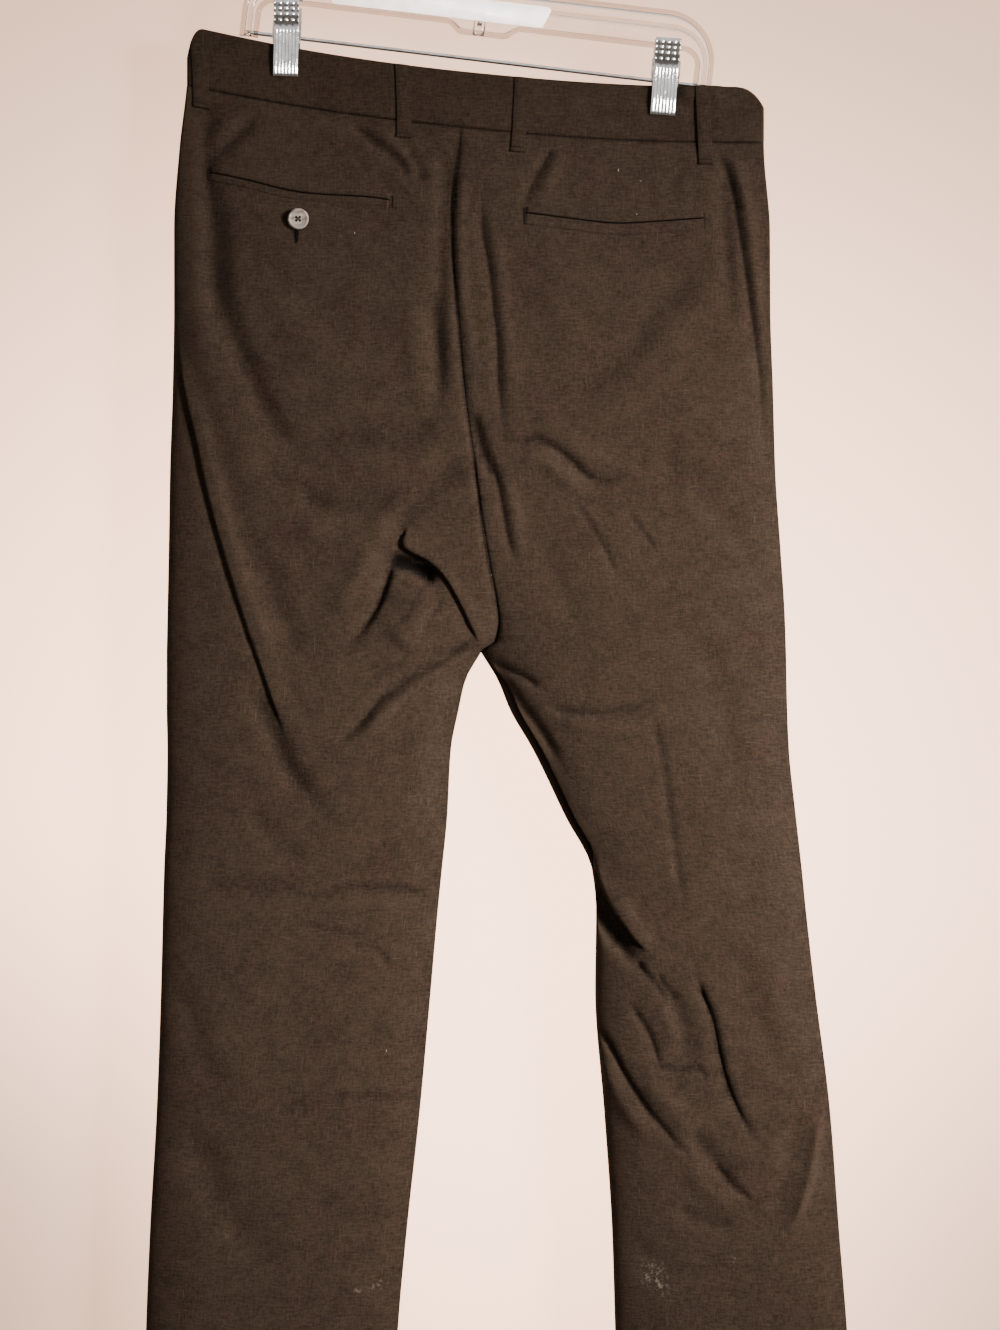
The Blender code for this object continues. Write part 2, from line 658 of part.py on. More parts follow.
def make_band(name, face, start, end, columns, rounded, lap=False):
    """One length of the waistband. The lap is the left front's button tab."""
    outward = outward_of(face)
    low = [0.0, BAND_END_SHARE] if "start" in rounded else []
    high = [1 - BAND_END_SHARE, 1.0] if "end" in rounded else []
    first = BAND_INSET if low else 0.0
    last = 1 - BAND_INSET if high else 1.0
    even = np.linspace(first, last, columns - len(low) - len(high))
    x, up = np.meshgrid(mix(start, end, np.array(low + list(even) + high)), np.array(BAND_SHARES))
    z = mix(waist_height(x) + HALF_GAP, band_top(x), up)
    tab = 0.0
    if lap:
        past = x - centre_line("front", z)
        tab = TAB_LIFT * smooth((past + TAB_FULL_BEFORE + TAB_RAMP) / TAB_RAMP)
    depth = np.maximum(band_depth(x, up) + tab, HALF_GAP)
    plain = np.maximum(band_depth(x, 0.0) + tab, HALF_GAP)
    normals = grid_normals(np.stack([x, outward * plain, z], axis=2)[::-1], outward)
    outer = np.stack([x, outward * depth, z], axis=2)[::-1]
    inner = outer - normals * BAND_WALL
    inner[:, :, 1] = outward * np.maximum(outward * inner[:, :, 1], HALF_GAP)
    inner[:, :, 2] = outer[:, :, 2]
    for column, rounded_end in ((0, "start"), (-1, "end")):
        if rounded_end not in rounded:
            inner[:, column, 0] = outer[:, column, 0]
    return wall_object(name, outer, inner, "linen")


# ---------------------------------------------------------------- what lies on the cloth

def faces_tree(objects):
    """A search tree over the faces of finished objects, in millimetres."""
    points, faces = [], []
    for thing in objects:
        first = len(points)
        points += [tuple(c / MM for c in vertex.co) for vertex in thing.data.vertices]
        faces += [[first + i for i in polygon.vertices] for polygon in thing.data.polygons]
    return BVHTree.FromPolygons(points, faces)


def resting_depth(tree, face, x, z, reach):
    """The most outward depth of the cloth around a place, as a distance from the middle plane."""
    outward = outward_of(face)
    best = 0.0
    for dx in (-reach, 0.0, reach):
        for dz in (-reach, 0.0, reach):
            start = Vector((x + dx, outward * RAY_START, z + dz))
            hit = tree.ray_cast(start, Vector((0, -outward, 0)))[0]
            if hit is not None:
                best = max(best, outward * hit.y)
    return best


def laid_strip(name, tree, face, x, z, wall, lift, reach=REST_REACH):
    """A strip that lies on the cloth, made from the cloth's own points moved out."""
    outward = outward_of(face)
    rest = np.array([[resting_depth(tree, face, float(a), float(b), reach) for a, b in zip(p, q)]
                     for p, q in zip(x, z)])
    low = rest + lift
    inner = np.stack([x, outward * low, z], axis=2)
    outer = np.stack([x, outward * (low + wall), z], axis=2)
    return wall_object(name, outer, inner, "linen")


def make_loop(tree, name, face, place, below):
    """A belt loop from the band's top edge to just below the waist seam, arched off the band."""
    across = np.linspace(-LOOP_WIDTH / 2, LOOP_WIDTH / 2, 3) + place
    up = np.linspace(0.0, 1.0, 8)
    x, share = np.meshgrid(across, up)
    top = band_top(x) - 0.8
    z = mix(top, waist_height(x) - below, share)
    lift = SEAM_GAP + LOOP_LIFT * np.sin(math.pi * share)
    return laid_strip(name, tree, face, x, z, LOOP_WALL, lift)


def make_lips(tree, name, left, middle, right, upper, lower):
    """The two lips of a slit pocket, either side of its opening."""
    run = fold_run(left, middle, right, LIP_POINTS)
    for part, first, last in (("upper", upper, LIP_GAP), ("lower", -LIP_GAP, -lower)):
        offsets = np.linspace(first, last, 3)
        x = np.tile(run[:, 0], (3, 1))
        z = run[:, 1][None, :] + offsets[:, None]
        laid_strip(f"{name}_{part}_lip", tree, "back", x, z, LIP_WALL, SEAM_GAP, reach=LIP_REACH)


def make_pocket_edge(tree, name, top, foot):
    """The turned edge of a slanted front pocket."""
    share = np.linspace(0.0, 1.0, POCKET_EDGE_POINTS)
    centre = mix(top[0], foot[0], share)
    drop = mix(top[1], foot[1], share)
    toward_middle = -np.sign(centre.mean())
    x = centre[:, None] + toward_middle * np.array([0.0, POCKET_EDGE_WIDTH / 2, POCKET_EDGE_WIDTH])
    z = waist_height(x) - drop[:, None]
    return laid_strip(name, tree, "front", x, z, LIP_WALL, SEAM_GAP)


def make_button(tree, name, face, place):
    """A turned four-hole button that stands on its thread shank just off the cloth."""
    outward = outward_of(face)
    inner = BUTTON_RADIUS - BUTTON_RIM
    profile = (
        (0.0, 0.0), (BUTTON_RADIUS - 1.6, 0.0), (BUTTON_RADIUS, 1.0), (BUTTON_RADIUS, 1.9),
        (BUTTON_RADIUS - 0.8, BUTTON_THICK), (inner + 0.5, BUTTON_THICK),
        (inner - 0.4, BUTTON_THICK - BUTTON_DISH), (0.0, BUTTON_THICK - BUTTON_DISH),
    )
    mesh = turned_mesh(name, profile, 20)
    button = place_object(name, mesh, "button")
    x, z = place
    rest = resting_depth(tree, face, x, z, BUTTON_RADIUS * 0.75)
    button.location = Vector((x, outward * (rest + BUTTON_STAND), z)) * MM
    button.rotation_euler = (math.radians(-90 * outward), 0.0, 0.0)
    for index in range(4):
        angle = math.radians(45 + 90 * index)
        cutter = cylinder(f"{name} hole {index}", BUTTON_HOLE, 12.0, 8)
        cutter.parent = button
        cutter.location = Vector((math.cos(angle), math.sin(angle), 0.0)) * (BUTTON_HOLE_PITCH * 0.71) * MM
        cutter.hide_render = True
        cutter.display_type = "WIRE"
        cut = button.modifiers.new(f"hole {index}", "BOOLEAN")
        cut.operation = "DIFFERENCE"
        cut.object = cutter
    return button


def turned_mesh(name, profile, steps):
    """A closed solid turned about Z from a profile of (radius, height), bottom to top."""
    points, faces = [], []
    rings = []
    for radius, height in profile:
        if radius == 0.0:
            rings.append([len(points)])
            points.append((0.0, 0.0, height))
            continue
        ring = []
        for k in range(steps):
            angle = 2 * math.pi * k / steps
            ring.append(len(points))
            points.append((radius * math.cos(angle), radius * math.sin(angle), height))
        rings.append(ring)
    for lower, upper in zip(rings, rings[1:]):
        for k in range(steps):
            n = (k + 1) % steps
            if len(lower) == 1:
                faces.append((lower[0], upper[k], upper[n]))
            elif len(upper) == 1:
                faces.append((lower[k], lower[n], upper[0]))
            else:
                faces.append((lower[k], lower[n], upper[n], upper[k]))
    return mesh_from(name, points, faces)


def cylinder(name, radius, length, steps):
    profile = ((0.0, -length / 2), (radius, -length / 2), (radius, length / 2), (0.0, length / 2))
    mesh = turned_mesh(name, profile, steps)
    thing = bpy.data.objects.new(name, mesh)
    bpy.context.scene.collection.objects.link(thing)
    return thing


# ---------------------------------------------------------------- hanger

def hanger_frame_matrix():
    """From the hanger's own frame (along it, depth, up) to the world."""
    return (Matrix.Translation(Vector((HANGER_FOOT[0], 0.0, HANGER_FOOT[1])) * MM)
            @ Matrix.Rotation(HANGER_TILT, 4, "Y"))


def arc(centre, radius, start, end, steps=ARC_STEPS):
    return [(centre[0] + radius * math.cos(math.radians(mix(start, end, k / steps))),
             centre[1] + radius * math.sin(math.radians(mix(start, end, k / steps))))
            for k in range(steps + 1)]


def plate(name, outline, half_thick, middle=0.0):
    """A flat plate cut to an outline (along, up), centred in depth on the middle."""
    mesh = bpy.data.meshes.new(name)
    shape = bmesh.new()
    corners = [shape.verts.new(Vector((a, middle - half_thick, b)) * MM) for a, b in outline]
    face = shape.faces.new(corners)
    grown = bmesh.ops.extrude_face_region(shape, geom=[face])
    moved = [item for item in grown["geom"] if isinstance(item, bmesh.types.BMVert)]
    bmesh.ops.translate(shape, verts=moved, vec=Vector((0.0, 2 * half_thick * MM, 0.0)))
    bmesh.ops.recalc_face_normals(shape, faces=shape.faces)
    shape.to_mesh(mesh)
    shape.free()
    return mesh


def rounded_box(left, right, low, high, radius, steps=3):
    return (arc((right - radius, high - radius), radius, 0, 90, steps)
            + arc((left + radius, high - radius), radius, 90, 180, steps)
            + arc((left + radius, low + radius), radius, 180, 270, steps)
            + arc((right - radius, low + radius), radius, 270, 360, steps))


def make_hanger_frame():
    """A moulded arch: a beam with a thin web above, and two legs that hold the steel rod's ends."""
    half, high = HANGER_HALF_LENGTH, HANGER_HEIGHT
    foot = LEG_FOOT + LEG_CORNER
    outline = (arc((half - SHOULDER_RADIUS, high - SHOULDER_RADIUS), SHOULDER_RADIUS, 0, 90)
               + arc((-half + SHOULDER_RADIUS, high - SHOULDER_RADIUS), SHOULDER_RADIUS, 90, 180)
               + arc((-half + LEG_CORNER, foot), LEG_CORNER, 180, 270, 3)
               + arc((half - LEG_CORNER, foot), LEG_CORNER, 270, 360, 3))
    frame = place_object("hanger_frame", plate("hanger_frame", outline, HANGER_THICK / 2), "clear plastic")
    frame.matrix_world = hanger_frame_matrix()
    inside = half - END_WIDTH
    dip = BEAM_FOOT - BEAM_DIP
    under_arch = [(inside, -CUT_PAST), (inside, BEAM_FOOT - CORNER_CUT), (inside - CORNER_CUT, BEAM_FOOT),
                  (DIP_RIGHT, BEAM_FOOT), (DIP_RIGHT - CORNER_CUT, dip),
                  (DIP_LEFT + CORNER_CUT, dip), (DIP_LEFT, BEAM_FOOT),
                  (-inside + CORNER_CUT, BEAM_FOOT), (-inside, BEAM_FOOT - CORNER_CUT),
                  (-inside, -CUT_PAST)]
    cutters = [("under arch", under_arch, CUT_PAST, 0.0)]
    for side in (-1, 1):
        ends = (side * (BOSS_HALF_WIDTH + WEB_MARGIN), side * (inside - WEB_END_MARGIN))
        recess = rounded_box(min(ends), max(ends), BEAM_FOOT + RIM_WIDTH, high - RIM_WIDTH, WEB_CORNER)
        for depth in (-1, 1):
            middle = depth * (HANGER_THICK / 2 - WEB_RECESS + CUT_PAST)
            cutters.append((f"recess {side} {depth}", recess, CUT_PAST, middle))
    for label, shape, half_thick, middle in cutters:
        add_cut(frame, label, plate(label, shape, half_thick, middle))
    bore = cylinder("hook seat", HOOK_WIRE + SEAM_GAP, HANGER_HEIGHT, ROUND_SIDES)
    bore.location = Vector((0.0, 0.0, HOOK_SEAT + HANGER_HEIGHT / 2)) * MM
    cut_with(frame, "hook seat", bore)
    seats = cylinder("rod seats", ROD_RADIUS + SEAM_GAP, 2 * (half - ROD_END + SEAM_GAP), ROUND_SIDES)
    seats.location = Vector((0.0, 0.0, ROD_UP)) * MM
    seats.rotation_euler = (0.0, math.radians(90), 0.0)
    cut_with(frame, "rod seats", seats)


def make_rod():
    """The steel rod that the clips slide on, held in the frame's two legs."""
    half = HANGER_HALF_LENGTH - ROD_END
    profile = ((0.0, -half), (ROD_RADIUS, -half), (ROD_RADIUS, half), (0.0, half))
    rod = place_object("hanger_rod", turned_mesh("hanger_rod", profile, ROUND_SIDES), "plated steel")
    rod.matrix_world = (hanger_frame_matrix() @ Matrix.Translation(Vector((0.0, 0.0, ROD_UP * MM)))
                        @ Matrix.Rotation(math.radians(90), 4, "Y"))


def add_cut(thing, label, mesh):
    cutter = bpy.data.objects.new(label, mesh)
    bpy.context.scene.collection.objects.link(cutter)
    cut_with(thing, label, cutter)


def cut_with(thing, label, cutter, operation="DIFFERENCE"):
    cutter.parent = thing
    cutter.hide_render = True
    cutter.display_type = "WIRE"
    change = thing.modifiers.new(label, "BOOLEAN")
    change.operation = operation
    change.object = cutter


def make_hook():
    """The wire hook: a straight shank in the frame's boss, a neck, and three quarters of a circle."""
    place = hanger_frame_matrix()
    radius = HOOK_INNER_RADIUS + HOOK_WIRE
    centre = Vector((0.0, 0.0, -HOOK_INNER_RADIUS))
    shank = [place @ (Vector((0.0, 0.0, up)) * MM) / MM for up in np.linspace(HOOK_SEAT + 0.6, HOOK_NECK, 7)]
    start = math.radians(-50)
    turn_in = centre + radius * Vector((math.cos(start), 0.0, math.sin(start)))
    heading = Vector((math.sin(HANGER_TILT), 0.0, math.cos(HANGER_TILT)))
    turning = Vector((-math.sin(start), 0.0, math.cos(start)))
    pull = 14.0
    neck = []
    for t in np.linspace(0.0, 1.0, 9)[1:-1]:
        a, b = shank[-1], shank[-1] + heading * pull
        c, d = turn_in - turning * pull, turn_in
        neck.append(a * (1 - t) ** 3 + b * 3 * t * (1 - t) ** 2 + c * 3 * t * t * (1 - t) + d * t ** 3)
    round_part = [centre + radius * Vector((math.cos(math.radians(a)), 0.0, math.sin(math.radians(a))))
                  for a in np.linspace(-50, 205, 22)]
    path = shank + neck + round_part
    curve = bpy.data.curves.new("hanger_hook", "CURVE")
    curve.dimensions = "3D"
    curve.bevel_depth = HOOK_WIRE * MM
    curve.bevel_resolution = 2
    curve.use_fill_caps = True
    spline = curve.splines.new("POLY")
    spline.points.add(len(path) - 1)
    for point, place_on_path in zip(spline.points, path):
        point.co = (*(place_on_path * MM), 1.0)
    return place_object("hanger_hook", curve, "plated steel")


# ---------------------------------------------------------------- clips

def make_clip(name, foot, lean):
    """Two ribbed plates on a spring, one either side of the rod, that pinch the waistband."""
    place = (Matrix.Translation(Vector((foot[0], 0.0, foot[1])) * MM)
             @ Matrix.Rotation(lean, 4, "Y"))
    columns = 2 * CLIP_RIBS + 1
    across = np.linspace(-CLIP_WIDTH / 2, CLIP_WIDTH / 2, columns)
    ribs = CLIP_RIB * (np.arange(columns) % 2)
    up = np.array([row[0] for row in JAW_PROFILE])
    out = np.array([row[1] for row in JAW_PROFILE])
    for face in ("back", "front"):
        outward = outward_of(face)
        low = out[:, None] + ribs[None, :]
        x = np.tile(across, (len(up), 1))
        z = np.tile(up[:, None], (1, columns))
        inner = np.stack([x, outward * low, z], axis=2)
        outer = np.stack([x, outward * (low + CLIP_WALL), z], axis=2)
        jaw = wall_object(f"{name}_{face}", outer, inner, "plated steel")
        jaw.matrix_world = place
    reach = float(np.interp(SPRING_UP - 1.0, up, out)) - SEAM_GAP
    arm = rounded_box(-CLIP_WIDTH * 0.32, CLIP_WIDTH * 0.32, -1.0, 1.0, 0.4, 1)
    spring = place_object(f"{name}_spring", plate(f"{name}_spring", arm, reach), "plated steel")
    spring.matrix_world = place @ Matrix.Translation(Vector((0.0, 0.0, SPRING_UP * MM)))
    coil = cylinder(f"{name} coil", SPRING_RADIUS, CLIP_WIDTH * 0.8, 10)
    coil.rotation_euler = (0.0, math.radians(90), 0.0)
    cut_with(spring, "coil", coil, "UNION")


# ---------------------------------------------------------------- the whole

def clear_scene():
    for thing in list(bpy.data.objects):
        bpy.data.objects.remove(thing, do_unlink=True)


def make_band_pieces():
    left, right = WAIST_PLACES[0], WAIST_PLACES[-1]
    centre = float(centre_line("front", -170.0))
    back = make_band("waistband_back", "back", left, right, 36, ("start", "end"))
    front_left = make_band("waistband_front_left", "front", left, centre + TAB_LAP, 18, ("start",), lap=True)
    front_right = make_band("waistband_front_right", "front", centre - UNDERLAP, right, 16, ("end",))
    return back, [front_left, front_right]


def main():
    clear_scene()
    backs = [make_panel("back", side) for side in ("left", "right")]
    fronts = [make_panel("front", side) for side in ("left", "right")]
    band_back, bands_front = make_band_pieces()
    trees = {"back": faces_tree(backs + [band_back]), "front": faces_tree(fronts + bands_front)}
    for name, face, place, below in BELT_LOOPS:
        make_loop(trees[face], name, face, place, below)
    for pocket in POCKETS:
        make_lips(trees["back"], *pocket)
    for pocket in FRONT_POCKETS:
        make_pocket_edge(trees["front"], *pocket)
    make_button(trees["back"], "back_pocket_button", "back", BACK_BUTTON_PLACE)
    make_button(trees["front"], "waist_button", "front", WAIST_BUTTON_PLACE)
    make_hanger_frame()
    make_rod()
    make_hook()
    for clip in CLIPS:
        make_clip(*clip)


main()
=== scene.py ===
"""Linen trousers hung by the waistband from a clear clip hanger: the detailed model.

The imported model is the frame. Each cloth piece is a thin shell on the form of its solid, with the
creases, seams and weave that the solid leaves out. The back of the trousers faces -Y. Sizes are in
millimetres unless a name ends in _m, and are turned into metres when a mesh is made.
"""

import math

import bpy
import bmesh
import numpy as np
from bpy.props import FloatProperty, FloatVectorProperty, PointerProperty
from mathutils import Matrix, Vector
from mathutils.bvhtree import BVHTree


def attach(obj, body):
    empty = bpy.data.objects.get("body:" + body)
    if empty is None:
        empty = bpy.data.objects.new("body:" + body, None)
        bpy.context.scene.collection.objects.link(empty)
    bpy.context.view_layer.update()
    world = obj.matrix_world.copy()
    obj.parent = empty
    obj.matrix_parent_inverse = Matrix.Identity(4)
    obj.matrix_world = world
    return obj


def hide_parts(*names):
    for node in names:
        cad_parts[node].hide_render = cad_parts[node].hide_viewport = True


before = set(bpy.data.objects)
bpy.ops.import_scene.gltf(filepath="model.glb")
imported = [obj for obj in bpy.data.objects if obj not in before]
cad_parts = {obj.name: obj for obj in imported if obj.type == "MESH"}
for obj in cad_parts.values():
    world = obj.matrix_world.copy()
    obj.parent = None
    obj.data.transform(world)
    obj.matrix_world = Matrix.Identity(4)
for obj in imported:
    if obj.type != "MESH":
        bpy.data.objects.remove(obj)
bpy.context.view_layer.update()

bl_info = {
    "name": "Linen trousers on a clip hanger",
    "version": (1, 0, 0),
    "blender": (4, 5, 0),
    "location": "View3D > Sidebar > Trousers",
    "description": "Builds hung linen trousers, their clip hanger and a plain stage",
    "category": "Add Mesh",
}

MM = 0.001
HALF_GAP = 0.15

# ---------------------------------------------------------------- the garment's form, as in its solids

WAIST_PLACES = (-225.8, -22.5, 207.0)
WAIST_HEIGHTS = (-152.3, -184.5, -195.0)
BAND_HEIGHT = 42.0
BAND_LEFT_RISE = 3.2
FORK_HEIGHT = -577.0
FORK_REACH = 110.0
HIP_REACH = 150.0
CENTRE_REACH = 60.0
HEM_LEVEL = -1367.0
HEM_HEIGHT = 32.0
CENTRE_FRONT_SHIFT = 20.0
CENTRE_SHIFT_RISE = 250.0
CLIP_LEFT_X = -151.5
CLIP_RIGHT_X = 131.5
WAIST_CLAMPED = 3.5
WAIST_BOW = 4.5
WAIST_SETTLE = 200.0
BAND_PROUD = 0.6
BAND_ROUNDNESS = 7.0
BAND_CORNERS = ((0.93, 24.0), (0.88, 16.0))
LEG_STRADDLE = 7.2
STRADDLE_REACH = 20.0
STRADDLE_RAMP = 10.0
STRADDLE_START = 0.62
STRADDLE_RISE = 0.2

LEFT_SIDE, CENTRE, RIGHT_SIDE = 1, 2, 3
LEFT_OUTER, LEFT_INNER, RIGHT_INNER, RIGHT_OUTER = 1, 2, 3, 4

# height, left side, centre back, right side
TRUNK = (
    (-120.0, -224.0, -17.0, 203.5),
    (-150.0, -225.8, -18.0, 206.5),
    (-200.0, -231.5, -21.0, 207.0),
    (-260.0, -235.5, -26.5, 211.5),
    (-320.0, -235.5, -22.5, 211.8),
    (-380.0, -236.5, -17.5, 213.8),
    (-440.0, -238.5, -9.0, 215.5),
    (-500.0, -239.5, -1.5, 219.5),
    (-550.0, -240.5, 1.5, 222.7),
    (-577.0, -241.0, -5.3, 223.6),
)

# height, left outer edge, left inner edge, right inner edge, right outer edge
LEGS = (
    (-577.0, -241.0, -5.3, -5.3, 223.6),
    (-598.0, -241.0, -17.0, 7.5, 224.0),
    (-620.0, -241.0, -22.0, 16.5, 224.5),
    (-650.0, -240.5, -27.8, 33.8, 225.8),
    (-700.0, -241.3, -30.5, 58.0, 231.0),
    (-740.0, -243.0, -34.5, 78.0, 235.5),
    (-770.0, -243.8, -37.5, 81.0, 238.5),
    (-830.0, -245.3, -42.8, 80.3, 245.3),
    (-920.0, -248.5, -51.0, 87.0, 256.5),
    (-1010.0, -253.5, -60.8, 93.0, 263.3),
    (-1085.0, -256.5, -67.5, 95.3, 269.3),
    (-1200.0, -259.0, -73.0, 99.0, 276.0),
    (-1367.0, -262.0, -79.0, 103.0, 283.0),
)

# drop below the waist seam, back depth, front depth, roundness
DEPTHS = (
    (0.0, 0.0, 0.0, 6.0),
    (30.0, 4.0, 2.5, 4.0),
    (80.0, 11.0, 7.0, 3.0),
    (150.0, 18.0, 11.0, 2.5),
    (230.0, 21.0, 13.0, 2.4),
    (320.0, 21.0, 14.0, 2.4),
    (430.0, 19.0, 13.0, 2.4),
    (560.0, 16.0, 12.0, 2.4),
    (760.0, 15.0, 11.0, 2.4),
    (980.0, 14.0, 11.0, 2.4),
    (1220.0, 14.0, 12.0, 2.4),
)
